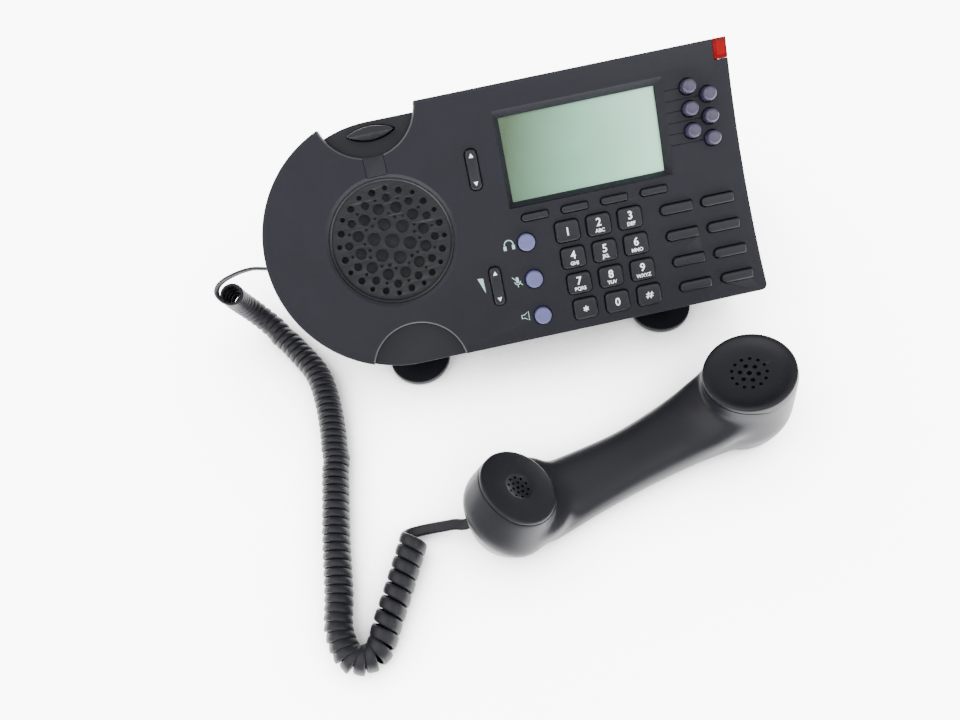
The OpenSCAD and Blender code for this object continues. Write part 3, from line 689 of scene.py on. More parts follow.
# direction of the strand's thin way at every ring: seen on edge by the phone, lying flat by the handset
na = []
for i, p in enumerate(A):
    t = (A[min(i + 1, len(A) - 1)] - A[max(i - 1, 0)]).normalized()
    v = t.cross(c_fwd).normalized()
    na.append(v)
if na[-1].dot(hnorm[0]) < 0:
    na = [-v for v in na]
nB = V((0.1, 0.0, -1)).normalized()
normals = na + [na[-1].lerp(hnorm[0], (i + 1) / (len(ja) + 1)).normalized() for i in range(len(ja))] + hnorm \
    + [hnorm[-1].lerp(nB, (i + 1) / (len(jb) + 1)).normalized() for i in range(len(jb))] + [nB] * len(B)
n_in, n_out = len(A) + len(ja), len(jb) + len(B)
rings, SIDES = [], 16
for i, p in enumerate(path):
    a = path[max(i - 1, 0)]
    b = path[min(i + 1, len(path) - 1)]
    t = (b - a).normalized()
    n = normals[i]
    n = (n - n.dot(t) * t).normalized()
    s = t.cross(n)
    if i < n_in:
        k = max(0.0, (i - len(A)) / max(1, len(ja)))
        hw = 2.3 + (half_width(0) - 2.3) * k
        ht = 0.95
    elif i >= len(path) - n_out:
        k = min(1.0, (i - (len(path) - n_out)) / len(jb))
        hw = half_width(1)
        ht = half_thick(1) + (1.05 - half_thick(1)) * k
    else:
        hw, ht = half_width(hfrac[i - n_in]), half_thick(hfrac[i - n_in])
    ring = []
    for j in range(SIDES):
        an = 2 * math.pi * (j + 0.5) / SIDES
        ca, sa = math.cos(an), math.sin(an)
        x = hw * math.copysign(abs(ca) ** 0.66, ca)
        y = ht * math.copysign(abs(sa) ** 0.80, sa)
        ring.append(p + x * s + y * n)
    rings.append(ring)
cv_, cf_ = [], []
for r in rings:
    cv_ += [P(*v) for v in r]
for i in range(len(rings) - 1):
    for j in range(SIDES):
        a, b = i * SIDES + j, i * SIDES + (j + 1) % SIDES
        cf_.append((a, b, b + SIDES, a + SIDES))
cf_.append(tuple(reversed(range(SIDES))))
cf_.append(tuple((len(rings) - 1) * SIDES + j for j in range(SIDES)))
cord = add("handset_cord", cv_, cf_, M_cord, None, ["cord_lead_phone", "curly_cord", "cord_lead_handset"], "cord", angle=60)
path_m = [list(P(*p)) for p in path]
cord_len = sum((Vector(b) - Vector(a)).length for a, b in zip(path_m, path_m[1:]))
print("cord length", round(cord_len, 4), "turns", round(turns, 1))

# plugs on the cord
base_plug = soften("base_plug", M_plug, 0.5, 2)
hs_plug = soften("handset_plug", M_plug, 0.5, 2)
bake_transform(cord)

# ---------------------------------------------------------------- housing
bez = (128.1, 215.5, 70.7, 118.8)
lineb = [(227.2, 111.6), (237, 106.2), (227.2, 100.8), (237, 95.4), (227.2, 90), (237, 84.6)]


def to_face(co):
    """Row-frame point to the face's own u, v, w in millimetres."""
    x, y, z = co.x * 1000 + OX, co.y * 1000 + OY, co.z * 1000
    v = y * CT + (z - EDGE_Z) * ST
    w = -y * ST + (z - EDGE_Z) * CT
    return x, v, w


def shell_keep(co):
    u, v, w = to_face(co)
    if w > -0.6 and bez[1] - 1 < u < 245 and 83 < v < 113 and not any(math.hypot(u - p[0], v - p[1]) < 5.2 for p in lineb):
        return 0.14      # engraved lines stay crisp
    if w < -7:
        return 0.0
    if w > -0.6 and on_notch(u, v, 0.5):
        return 1.0
    return 0.55


def on_notch(u, v, tol):
    return any(abs(math.hypot(u - 66.0, v - c) - 25.2) < tol for c in (134.5, -3.0))


shell = soften("front_shell", M_housing, 0.8, 3, shell_keep)
# painted highlight: the bevel faces along the two notch arcs and the left rim get a lighter material
shell.data.materials.append(M_edge)
shell.data.materials.append(M_edge2)
up3 = Vector((0, -ST, CT))
for p in shell.data.polygons:
    u, v, w = to_face(p.center)
    if w > -1.0 and p.normal.dot(up3) < 0.985 and len(p.vertices) < 7:
        if on_notch(u, v, 0.95):
            p.material_index = 1
        elif u < 66 and abs(math.hypot(u - 65.75, v - 65.75) - 65.75) < 0.9:
            p.material_index = 2
soften("rear_shell", M_dark, 0.4, 2)
soften("handset_clip", M_housing, 0.25, 2)
soften("hook_switch", M_dark, 0.35, 2)
soften("message_lamp", M_lamp, 0.4, 2)
soften("left_leg", M_dark, 0.6, 2)
soften("right_leg", M_dark, 0.6, 2)
soften("rubber_feet", M_rubber, 0.25, 2)
soften("board_sockets", M_socket, 0.2, 2)
soften("housing_screws", M_steel, 0.2, 2)
soften("handset_jack", M_socket, 0.25, 2)
for n, m in (("speaker_driver", M_cone), ("display_lens", M_lens), ("display_module", M_display), ("main_board", M_board),
             ("keypad_membrane", M_membrane), ("handset_capsules", M_black)):
    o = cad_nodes[n]
    o.data.materials.clear()
    o.data.materials.append(m)

# brighter inner window of the message lamp
def on_face(cu, cv, w0):
    return lambda x, y, h: F(cu + x, cv + y, w0 + h)
lw, lh = 4.0, 6.4
flat_shape("lamp_window", [rrect(lw, lh, 0.5, 3)], on_face(249.5 - 7.2 + 3.9, 131.5 - 10 + 5.0, 0.0), M_lamp_in, "base", 0.06, "lamp")


# ---------------------------------------------------------------- keys
key_up, travel = 2.0, 1.2
FLARE = 9.0
flare_r = (131.5 ** 2 + FLARE ** 2) / (2 * FLARE)


def edge_shift(v):
    return flare_r - math.sqrt(flare_r ** 2 - (131.5 - v) ** 2)


row_v = [53.3, 39.2, 25.1, 11.0]


def fan(v, k):
    return k * (edge_shift(v) - edge_shift(row_v[0]))


def dial_u(c, r):
    return 155.6 + c * 16.7 + fan(row_v[r], 0.65 + 0.17 * c)


def fkey_u(c, r):
    return (205.4 if c == 0 else 227.3) + fan(row_v[r], 1.17 if c == 0 else 1.4)


DIAL_LEVELS = [(-5.8, -0.8), (-4.4, -0.8), (-4.4, 0), (0.9, 0), (1.3, 0.08), (1.6, 0.28), (1.8, 0.62), (1.9, 1.1), (1.96, 2.0), (1.99, 3.4)]
digits = [("key_1", "1", ""), ("key_2", "2", "ABC"), ("key_3", "3", "DEF"), ("key_4", "4", "GHI"), ("key_5", "5", "JKL"), ("key_6", "6", "MNO"),
          ("key_7", "7", "PQRS"), ("key_8", "8", "TUV"), ("key_9", "9", "WXYZ"), ("key_star", "*", ""), ("key_0", "0", ""), ("key_pound", "#", "")]
for i, (node, d, letters) in enumerate(digits):
    c, r = i % 3, i // 3
    u, v = dial_u(c, r), row_v[r]
    cap(node + "_cap", node, node + "_body", rrect(12.5, 10.9, 2.3), u, v, DIAL_LEVELS, M_key, apex=2.0)
    body = node + "_body"
    if letters:
        text_piece(node + "_digit", d, 5.9, on_face(u - 0.1, v + 1.5, 2.0), M_print, body, 0.10, 0.95)
        text_piece(node + "_letters", letters, 2.65, on_face(u, v - 2.9, 1.99), M_print, body, 0.06, 0.98)
    elif d == "*":
        arms = []
        for k in range(3):
            a = math.radians(90 + 60 * k)
            arms += ribbon([(1.55 * math.cos(a), 1.55 * math.sin(a)), (-1.55 * math.cos(a), -1.55 * math.sin(a))], 0.62)
        for k, arm in enumerate(arms):
            flat_shape("%s_arm%d" % (node, k), [arm], on_face(u, v, 2.0 + 0.002 * k), M_print, body)
    elif d == "#":
        bars = [ribbon([(-1.35, -1.8), (-0.45, 1.8)], 0.55)[0], ribbon([(0.45, -1.8), (1.35, 1.8)], 0.55)[0],
                ribbon([(-1.9, 0.65), (2.05, 0.65)], 0.52)[0], ribbon([(-2.05, -0.65), (1.9, -0.65)], 0.52)[0]]
        for k, bar in enumerate(bars):
            flat_shape("%s_bar%d" % (node, k), [bar], on_face(u, v, 2.0 + 0.002 * k), M_print, body)
    else:
        text_piece(node + "_digit", d, 5.9, on_face(u - 0.1, v, 2.0), M_print, body, 0.10, 0.95)

for i in range(8):
    node = "function_key_%d" % (i + 1)
    c, r = i % 2, i // 2
    cap(node + "_cap", node, node + "_body", dshape(17, 4.9), fkey_u(c, r) + 8.5, row_v[r],
        [(-5.8, -0.6), (-4.4, -0.6), (-4.4, 0), (1.3, 0), (1.7, 0.1), (2.0, 0.35), (2.15, 0.75), (2.19, 1.3)], M_key, apex=2.2)
for i, u in enumerate((140.4, 161.3, 182.3, 203.3)):
    node = "softkey_%d" % (i + 1)
    cap(node + "_cap", node, node + "_body", dshape(13.8, 3.5), u, 64.4,
        [(-5.8, -0.6), (-4.4, -0.6), (-4.4, 0), (0.9, 0), (1.25, 0.1), (1.48, 0.35), (1.57, 0.7), (1.59, 1.1)], M_key, apex=1.6)
for i, p in enumerate(lineb):
    node = "line_button_%d" % (i + 1)
    cap(node + "_cap", node, node + "_body", circle_pts(3.6), p[0], p[1],
        [(-5.8, -0.8), (-4.4, -0.8), (-4.4, 0), (3.5, 0.05), (4.1, 0.2), (4.55, 0.5), (4.85, 1.0), (5.0, 1.7), (5.08, 2.6)], M_lilac2, apex=5.1)
for node, p in (("headset_button", (133.6, 52)), ("mute_button", (134.2, 32.2)), ("speaker_button", (135.3, 12))):
    cap(node + "_cap", node, node + "_body", circle_pts(4.5), p[0], p[1],
        [(-5.8, -0.8), (-4.4, -0.8), (-4.4, 0), (1.5, 0), (2.0, 0.12), (2.38, 0.45), (2.6, 1.0), (2.72, 1.9), (2.78, 3.0)], M_lilac, apex=2.8)


def rocker(node, p):
    body = node + "_body"
    pts = rrect(5.8, 20.2, 2.4, 6)
    # finer sides so that the dished crown is smooth
    fine = []
    for a, b in zip(pts, pts[1:] + pts[:1]):
        k = max(1, int(math.hypot(b[0] - a[0], b[1] - a[1]) / 1.0))
        for j in range(k):
            fine.append((a[0] + (b[0] - a[0]) * j / k, a[1] + (b[1] - a[1]) * j / k))
    def crown(x, y):
        return min(0.0, (y * y) / 60.0 - 0.60)
    verts, faces = [], []
    n = len(fine)
    levels = [(-3.2, 0), (0.6, 0), (1.2, 0.08), (1.5, 0.3), (1.7, 0.65), (1.78, 1.1)]
    for w, ins in levels:
        for x, y in fine:
            X, Y = x * (2.9 - ins) / 2.9, y * (10.1 - ins) / 10.1
            verts.append(F(p[0] + X, p[1] + Y, w + (crown(X, Y) if w > 0 else 0)))
    for k in range(len(levels) - 1):
        for i in range(n):
            a, b = k * n + i, k * n + (i + 1) % n
            faces.append((a, b, b + n, a + n))
    faces.append(tuple(reversed(range(n))))
    # crown closed along a spine
    base = (len(levels) - 1) * n
    spine = {}
    for i in range(n):
        x, y = fine[i]
        Y = y * (10.1 - 1.1) / 10.1
        key = round(Y, 3)
        if key not in spine:
            verts.append(F(p[0], p[1] + Y, 1.8 + crown(0, Y)))
            spine[key] = len(verts) - 1
    for i in range(n):
        j = (i + 1) % n
        a, b = spine[round(fine[i][1] * 9.0 / 10.1, 3)], spine[round(fine[j][1] * 9.0 / 10.1, 3)]
        if a == b:
            faces.append((base + i, base + j, a))
        else:
            faces.append((base + i, base + j, b, a))
    o = add(node + "_cap", verts, faces, M_key, body, node, slot_of[node], angle=40)
    for s, nm in ((1, "up"), (-1, "down")):
        tri = [(-1.15, 7.0 * s - 1.0 * s), (1.15, 7.0 * s - 1.0 * s), (0, 7.0 * s + 1.1 * s)]
        if s < 0:
            tri = tri[::-1]
        flat_shape("%s_%s" % (node, nm), [tri], lambda x, y, h: F(p[0] + x, p[1] + y, 1.82 + min(0.0, y * y / 60 - 0.6) + h), M_print, body)
    return o


rocker("scroll_rocker", (113.8, 93.3))
rocker("volume_rocker", (114.3, 32.6))

# ---------------------------------------------------------------- printed symbols
flat_shape("volume_wedge", [[(104.8, 38.3), (107.8, 30.0), (107.7, 38.0)]], lambda x, y, h: F(x, y, h + 0.01), M_mint, "base", 0.05, "housing")


def icon(name, polys, c, k=1.0, mat=None):
    for i, poly in enumerate(polys):
        pts = [(c[0] + x * k, c[1] + y * k) for x, y in poly]
        flat_shape("%s_%d" % (name, i), [pts], lambda x, y, h: F(x, y, h + 0.01 + 0.0015 * (i % 7)), mat or M_mint, "base", 0.05, "housing")


def joined(name, polys, c, mat=None):
    flat_shape(name, [[(c[0] + x, c[1] + y) for x, y in poly] for poly in polys], lambda x, y, h: F(x, y, h + 0.01), mat or M_mint, "base", 0.05, "housing")


# headset: band and two ear pads
arc = [(2.3 * math.cos(math.radians(a)), 0.2 + 2.3 * math.sin(math.radians(a))) for a in range(-10, 191, 15)]
joined("icon_headset_band", ribbon(arc, 0.5), (124.3, 52.3))
joined("icon_headset_pads", [[(x - 0.75, -2.5), (x + 0.75, -2.5), (x + 0.75, -0.3), (x - 0.75, -0.3)] for x in (-2.25, 2.25)], (124.3, 52.3))
# microphone with a stroke through it
joined("icon_mute_capsule", [rrect(1.5, 3.2, 0.7, 4)], (125.3, 33.4))
cup = [(1.6 * math.cos(math.radians(a)), 1.6 * math.sin(math.radians(a))) for a in range(180, 361, 20)]
joined("icon_mute_cup", ribbon(cup, 0.4), (125.3, 32.6))
joined("icon_mute_stem", [[(-0.2, -3.0), (0.2, -3.0), (0.2, -1.7), (-0.2, -1.7)]], (125.3, 32.6))
joined("icon_mute_stroke", ribbon([(-2.6, 2.6), (2.4, -2.2)], 0.4), (125.3, 32.6))
# loudspeaker outline
spk = [(-2.2, -0.9), (-0.7, -0.9), (1.6, -2.4), (1.6, 2.4), (-0.7, 0.9), (-2.2, 0.9)]
joined("icon_speaker", ribbon(spk, 0.42, True), (126.3, 13.3))


# ---------------------------------------------------------------- speaker grille
def disc_with_holes(name, R, holes, zfun, to, thick, mat, body, replaces=None, slot=None, bev=0.12, seg=2, n_out=128):
    cu = bpy.data.curves.new(name, "CURVE")
    cu.dimensions = "2D"
    cu.fill_mode = "BOTH"
    cu.extrude = thick / 2 - bev
    cu.bevel_depth = bev
    cu.bevel_resolution = seg - 1
    cu.offset = -bev
    def ring(cx, cy, r, n):
        s = cu.splines.new("POLY")
        s.points.add(n - 1)
        for i in range(n):
            a = 2 * math.pi * i / n
            s.points[i].co = (cx + r * math.cos(a), cy + r * math.sin(a), 0, 1)
        s.use_cyclic_u = True
    ring(0, 0, R, n_out)
    for (x, y, r) in holes:
        ring(x, y, r, 28 if r > 1.6 else 16)
    o = bpy.data.objects.new(name, cu)
    scene.collection.objects.link(o)
    me = evaluated(o)
    bpy.data.objects.remove(o)
    bm = bmesh.new()
    bm.from_mesh(me)
    bmesh.ops.remove_doubles(bm, verts=bm.verts, dist=1e-4)
    bm.to_mesh(me)
    bm.free()
    for v in me.vertices:
        x, y, z = v.co
        v.co = to(x, y, z - thick / 2 + zfun(math.hypot(x, y)))
    return finish_mesh(name, me, mat, body, replaces, slot, angle=40)


def polar(r, a):
    return (r * math.cos(math.radians(a)), r * math.sin(math.radians(a)))


g_holes = [(0, 0, 3.8)]
g_holes += [polar(9.35, 43 - 60 * k) + (3.4,) for k in range(6)]
g_holes += [polar(17.5, -19.5 - 30 * k) + (2.95,) for k in range(12)]
g_holes += [polar(22.3, -5 - 30 * k) + (2.1,) for k in range(12)]
g_holes += [polar(26.2, -20 - 30 * k) + (1.8,) for k in range(12)]
g_holes += [polar(27.2, -5 - 30 * k) + (1.27,) for k in range(12)]
g_holes += [polar(12.6, 11 - 60 * k) + (0.93,) for k in range(6)]
g_holes += [polar(14.3, -5 - 30 * k) + (0.75,) for k in range(12)]
g_holes += [polar(22.1, -20 - 30 * k) + (0.75,) for k in range(12)]


def dish(r):
    return -5.0 + 2.6 * (min(r, 30.0) / 30.0) ** 2.2


disc_with_holes("grille_dish", 30.6, g_holes, dish, on_face(65.6, 66.4, 0), 1.3, M_grille, "base", "speaker_grille", "dark_housing")
# turned rim between the dish and the face
prof = [(30.2, -3.8), (30.2, -2.5), (30.9, -1.75), (31.4, -1.35), (31.8, -1.45), (31.8, -3.8)]
rv, rf, N = [], [], 160
for i in range(N):
    a = 2 * math.pi * i / N
    for r, w in prof:
        rv.append(F(65.6 + r * math.cos(a), 66.4 + r * math.sin(a), w))
for i in range(N):
    for k in range(len(prof)):
        a, b = i * len(prof) + k, i * len(prof) + (k + 1) % len(prof)
        c, d = ((i + 1) % N) * len(prof) + (k + 1) % len(prof), ((i + 1) % N) * len(prof) + k
        rf.append((a, b, c, d))
add("grille_rim", rv, rf, M_grille, "base", None, "dark_housing", angle=50)


# ---------------------------------------------------------------- handset
def superellipse(p, q, half, lo, hi, n=40, e=0.75):
    out = []
    zc, hz = (lo + hi) / 2, (hi - lo) / 2
    for i in range(n):
        a = 2 * math.pi * i / n
        ca, sa = math.cos(a), math.sin(a)
        out.append((p, q + half * math.copysign(abs(ca) ** e, ca), zc + hz * math.copysign(abs(sa) ** e, sa)))
    return out


def rot(ax, ay):
    a, b = math.radians(ax), math.radians(ay)
    return Matrix.Rotation(b, 3, "Y") @ Matrix.Rotation(a, 3, "X")


def ring3(c, r, R, dz=0.0, n=48):
    out = []
    for i in range(n):
        a = 2 * math.pi * i / n
        v = R @ Vector((r * math.cos(a), r * math.sin(a), dz))
        out.append((c[0] + v.x, c[1] + v.y, c[2] + v.z))
    return out


mic_c, ear_c = Vector((0.8, 1.2, 36)), Vector((130.7, 0.5, 43))
R_mic, R_ear = rot(-2.7, 33.5), rot(-14.2, -11.6)


def hull_points(bm, pts):
    vs = [bm.verts.new(H(*p)) for p in pts]
    res = bmesh.ops.convex_hull(bm, input=vs)
    junk = [g for g in res["geom_interior"] if isinstance(g, bmesh.types.BMVert)]
    junk += [g for g in res["geom_unused"] if isinstance(g, bmesh.types.BMVert)]
    bmesh.ops.delete(bm, geom=list(set(junk)), context="VERTS")


MIC_R, EAR_R = 20.9, 23.2


def handset_mesh():
    parts = []
    # cups: face ring, side wall, belly, foot
    parts.append(ring3(mic_c, MIC_R, R_mic, -0.5) + ring3(mic_c, MIC_R + 0.25, R_mic, -5.0) + ring3((-9.8, -4, 21.5), 25.4, rot(-2.7, 37), 0)
                 + ring3((-8.6, -4, 9), 21.4, rot(0, 10), 0) + ring3((-7, -4, -1.6), 17.4, rot(0, 0), 0))
    parts.append(ring3(ear_c, EAR_R, R_ear, -0.5) + ring3(ear_c, EAR_R + 0.25, R_ear, -5.0) + ring3((130.6, -6.8, 15), 24.4, rot(-14.2, -8.6), 0)
                 + ring3((129.5, -8, 7), 21.6, rot(-6, -3), 0) + ring3((128, -9, -1.6), 17.6, rot(0, 0), 0))
    # ledge round the mouth cup on the handle's side
    parts.append(ring3((3.0, -2.0, 24.9), 24.0, rot(-2.7, 13), 0) + ring3((3.5, -3.0, 12), 23.2, rot(0, 8), 0))
    # handle: many sections on a smooth law, hulled pair by pair
    kv = [(4, -5, 20.7, -1.2, 19.6), (18, -5.4, 19.4, -1.0, 20.0), (36, -5.6, 17.8, -0.8, 21.2), (62, -5.8, 16.7, -0.4, 23.2), (90, -4.8, 18.2, -0.8, 25.2),
          (106, -4.8, 19.6, -1.0, 26.4), (118, -5.0, 20.6, -1.2, 27)]
    secs = []
    for i in range(len(kv) - 1):
        a, b, c, d = kv[max(i - 1, 0)], kv[i], kv[i + 1], kv[min(i + 2, len(kv) - 1)]
        for j in range(5):
            t = j / 5
            secs.append(tuple(0.5 * ((2 * b[m]) + (c[m] - a[m]) * t + (2 * a[m] - 5 * b[m] + 4 * c[m] - d[m]) * t * t + (3 * b[m] - a[m] - 3 * c[m] + d[m]) * t ** 3) for m in range(5)))
    secs.append(kv[-1])
    for a, b in zip(secs, secs[1:]):
        parts.append(superellipse(*a) + superellipse(*b))
    # the handle climbs to the ear cup
    parts.append(superellipse(96, -4.4, 18.4, 4, 25.2) + ring3(ear_c, EAR_R + 0.2, R_ear, -9.5))
    parts.append(superellipse(88, -4.6, 17.6, 4, 24.4) + ring3(ear_c, EAR_R + 0.6, R_ear, -15.0))
    joined_me = bpy.data.meshes.new("hs_parts")
    verts, faces = [], []
    for pts in parts:
        bm = bmesh.new()
        hull_points(bm, pts)
        bm.verts.index_update()
        k = len(verts)
        verts += [v.co.copy() for v in bm.verts]
        faces += [tuple(k + v.index for v in f.verts) for f in bm.faces]
        bm.free()
    joined_me.from_pydata(verts, [], faces)
    o = bpy.data.objects.new("hs_tmp", joined_me)
    scene.collection.objects.link(o)
    rm = o.modifiers.new("r", "REMESH")
    rm.mode = "VOXEL"
    rm.voxel_size = 0.00085
    rm.adaptivity = 0.0
    me = evaluated(o)
    bpy.data.objects.remove(o)
    # relax the joins between the masses, but leave the two rims crisp
    n = len(me.vertices)
    co = np.empty(n * 3)
    me.vertices.foreach_get("co", co)
    co = co.reshape(n, 3)
    ed = np.empty(len(me.edges) * 2, dtype=np.int32)
    me.edges.foreach_get("vertices", ed)
    ed = ed.reshape(-1, 2)
    deg = np.bincount(ed.ravel(), minlength=n).astype(float)
    wgt = np.ones(n)
    for c, R, rad in ((mic_c, R_mic, MIC_R), (ear_c, R_ear, EAR_R)):
        o3 = np.array(H(*c))
        ax = [np.array(H(*(Vector(c) + R @ Vector(e)))) - o3 for e in ((1, 0, 0), (0, 1, 0), (0, 0, 1))]
        ax = [q / np.linalg.norm(q) for q in ax]
        d = (co - o3) @ ax[2] * 1000
        r = np.hypot((co - o3) @ ax[0], (co - o3) @ ax[1]) * 1000
        near = np.clip((-d - 6.0) / 6.0, 0.0, 1.0)
        away = np.clip((r - rad - 1.2) / 3.0, 0.0, 1.0)
        wgt = np.minimum(wgt, 0.12 + 0.88 * np.maximum(near, away))
    for it in range(70):
        acc = np.empty_like(co)
        for k in range(3):
            acc[:, k] = np.bincount(ed[:, 0], co[ed[:, 1], k], n) + np.bincount(ed[:, 1], co[ed[:, 0], k], n)
        acc /= deg[:, None]
        co += (0.5 * wgt)[:, None] * (acc - co)
    co[:, 2] = np.maximum(co[:, 2], 0.00015)
    me.vertices.foreach_set("co", co.ravel())
    me.update()
    return me


def half(me, keep_above, z, gap):
    bm = bmesh.new()
    bm.from_mesh(me)
    zz = z + (gap if keep_above else -gap)
    geom = bm.verts[:] + bm.edges[:] + bm.faces[:]
    bmesh.ops.bisect_plane(bm, geom=geom, dist=1e-7, plane_co=(0, 0, zz * S), plane_no=(0, 0, 1), clear_inner=keep_above, clear_outer=not keep_above)
    edges = [e for e in bm.edges if e.is_boundary]
    cap = bmesh.ops.holes_fill(bm, edges=edges, sides=0)["faces"]
    bmesh.ops.triangulate(bm, faces=cap)
    bmesh.ops.recalc_face_normals(bm, faces=bm.faces)
    print("half", keep_above, "loops", len(cap), "open", sum(not e.is_manifold for e in bm.edges), "volume", bm.calc_volume(signed=True) * 1e9)
    out = bpy.data.meshes.new("hs_half")
    bm.to_mesh(out)
    bm.free()
    return out


def cut(me, cutters):
    """Subtract closed, separate cutter shapes from a mesh in one go each."""
    o = bpy.data.objects.new("cut_tmp", me)
    scene.collection.objects.link(o)
    objs = []
    for k, (vv, ff) in enumerate(cutters):
        cm = bpy.data.meshes.new("c%d" % k)
        cm.from_pydata([tuple(v) for v in vv], [], ff)
        bm = bmesh.new()
        bm.from_mesh(cm)
        bmesh.ops.recalc_face_normals(bm, faces=bm.faces)
        bm.to_mesh(cm)
        bm.free()
        co = bpy.data.objects.new("c%d" % k, cm)
        scene.collection.objects.link(co)
        objs.append(co)
        md = o.modifiers.new("b%d" % k, "BOOLEAN")
        md.operation = "DIFFERENCE"
        md.solver = "EXACT"
        md.object = co
    def volume(m_):
        b_ = bmesh.new()
        b_.from_mesh(m_)
        v_ = b_.calc_volume(signed=True) * 1e9
        b_.free()
        return v_

    was = volume(me)
    for solver in ("EXACT", "MANIFOLD", "FLOAT", "FAST"):
        try:
            for md in o.modifiers:
                md.solver = solver
        except TypeError:
            continue
        out = evaluated(o)
        now = volume(out)
        print("cut", me.name, solver, "volume", round(was, 1), "->", round(now, 1))
        if 0.5 * was < now < was:
            break
    bpy.data.objects.remove(o)
    for co in objs:
        bpy.data.objects.remove(co)
    return out


def tube_cutter(c, R, r, d0, d1, n=48, at=(0.0, 0.0)):
    v = []
    for d in (d0, d1):
        for i in range(n):
            a = 2 * math.pi * i / n
            w_ = R @ Vector((at[0] + r * math.cos(a), at[1] + r * math.sin(a), d))
            v.append(H(c[0] + w_.x, c[1] + w_.y, c[2] + w_.z))
    f = [(i, (i + 1) % n, n + (i + 1) % n, n + i) for i in range(n)]
    f += [tuple(reversed(range(n))), tuple(range(n, 2 * n))]
    return v, f


def many(cutters):
    vv, ff = [], []
    for v, f in cutters:
        k = len(vv)
        vv += v
        ff += [tuple(i + k for i in q) for q in f]
    return vv, ff


def box_cutter(p0, q0, z0, p1, q1, z1):
    v = [H(p, q, z) for p in (p0, p1) for q in (q0, q1) for z in (z0, z1)]
    f = [(0, 1, 3, 2), (4, 6, 7, 5), (0, 4, 5, 1), (2, 3, 7, 6), (0, 2, 6, 4), (1, 5, 7, 3)]
    return v, f


hs_me = handset_mesh()
jack_cut = box_cutter(-45, jack_q - 4.1, jack_z - 3.5, -12, jack_q + 4.1, jack_z + 3.5)
front = cut(half(hs_me, True, 15.0, 0.08), [
    tube_cutter(mic_c, R_mic, MIC_R + 0.35, -5.0, 4.0, 128), tube_cutter(ear_c, R_ear, EAR_R + 0.35, -5.0, 4.0, 128), jack_cut])
back = cut(half(hs_me, False, 15.0, 0.08), [jack_cut])
finish_mesh("handset_front", front, M_hand, "handset", "handset_front_shell", "handset", angle=38, recalc=False)
finish_mesh("handset_back", back, M_hand, "handset", "handset_back_shell", "handset", angle=38, recalc=False)


def on_cup(c, R):
    def to(x, y, h):
        v = R @ Vector((x, y, h))
        return H(c[0] + v.x, c[1] + v.y, c[2] + v.z)
    return to


def grid_holes(spec):
    out = []
    for r, n, a0, hr in spec:
        for k in range(n):
            out.append(polar(r, a0 + 360.0 * k / n) + (hr,))
    return out


ear_holes = [(0, 0, 1.35)] + grid_holes([(4.5, 6, 20, 1.15), (8.6, 13, 0, 0.9)])
mic_holes = [(0, 0, 0.95)] + grid_holes([(2.9, 6, 0, 0.75), (5.4, 10, 9, 0.68)])


def cup_plate(name, c, R, rr, top, holes):
    """Turned face of a cup, rim and side in one, drilled with its sound holes."""
    to = on_cup(c, R)
    N = 144
    prof = top + [(rr - 1.5, 0.0), (rr - 0.85, -0.12), (rr - 0.35, -0.45), (rr - 0.08, -1.0), (rr, -1.7), (rr + 0.22, -4.92),
                  (rr - 2.4, -4.92), (rr - 3.0, -3.4), (top[1][0], -3.4)]
    vv, ff, m = [to(0, 0, top[0][1])], [], len(prof) - 1
    for i in range(N):
        a = 2 * math.pi * i / N
        for r, w_ in prof[1:]:
            vv.append(to(r * math.cos(a), r * math.sin(a), w_))
    vv.append(to(0, 0, -3.4))
    last = len(vv) - 1
    for i in range(N):
        j = (i + 1) % N
        a, b = 1 + i * m, 1 + j * m
        ff.append((0, a, b))
        for k in range(m - 1):
            ff.append((a + k, a + k + 1, b + k + 1, b + k))
        ff.append((a + m - 1, last, b + m - 1))
    me = bpy.data.meshes.new(name)
    me.from_pydata([tuple(v) for v in vv], [], ff)
    bm = bmesh.new()
    bm.from_mesh(me)
    bmesh.ops.recalc_face_normals(bm, faces=bm.faces)
    bm.to_mesh(me)
    bm.free()
    me = cut(me, [many([tube_cutter(c, R, hr, -4.2, 2.0, 24, (x, y)) for x, y, hr in holes])])
    plate = finish_mesh(name + "_plate", me, M_hand, "handset", None, "handset", angle=32, recalc=False)
    # the bores are painted black inside: painted shade in the holes
    plate.data.materials.append(M_black)
    o3 = to(0, 0, 0)
    ax, ay, az = [(to(*e) - o3).normalized() for e in ((1, 0, 0), (0, 1, 0), (0, 0, 1))]
    for p in plate.data.polygons:
        d = plate.matrix_world @ p.center - o3
        if abs(p.normal.dot(az)) < 0.5 and any(math.hypot(d.dot(ax) * 1000 - x, d.dot(ay) * 1000 - y) < hr + 0.04 for x, y, hr in holes):
            p.material_index = 1
    # a black disc behind the holes: painted shade seen through them
    n = 40
    fv = [to(q * math.cos(2 * math.pi * i / n), q * math.sin(2 * math.pi * i / n), w_) for w_ in (-4.98, -4.5) for q in (rr - 6,) for i in range(n)]
    fq = [(i, (i + 1) % n, n + (i + 1) % n, n + i) for i in range(n)] + [tuple(reversed(range(n))), tuple(range(n, 2 * n))]
    add(name + "_felt", fv, fq, M_black, "handset", None, "handset", smooth=False)


ear_top = [(0, -2.1), (3, -2.08), (6, -2.02), (9.5, -1.92), (12.5, -1.78), (15.0, -1.56), (16.8, -1.25), (18.2, -0.85), (19.3, -0.42), (20.2, -0.12), (20.9, 0.0)]
mic_top = [(0, -1.5), (1.6, -1.46), (3.2, -1.3), (4.8, -1.02), (6.0, -0.68), (6.8, -0.28), (7.2, -0.06), (7.7, 0.0), (12, 0.0)]
cup_plate("ear", ear_c, R_ear, EAR_R, ear_top, ear_holes)
cup_plate("mic", mic_c, R_mic, MIC_R, mic_top, mic_holes)
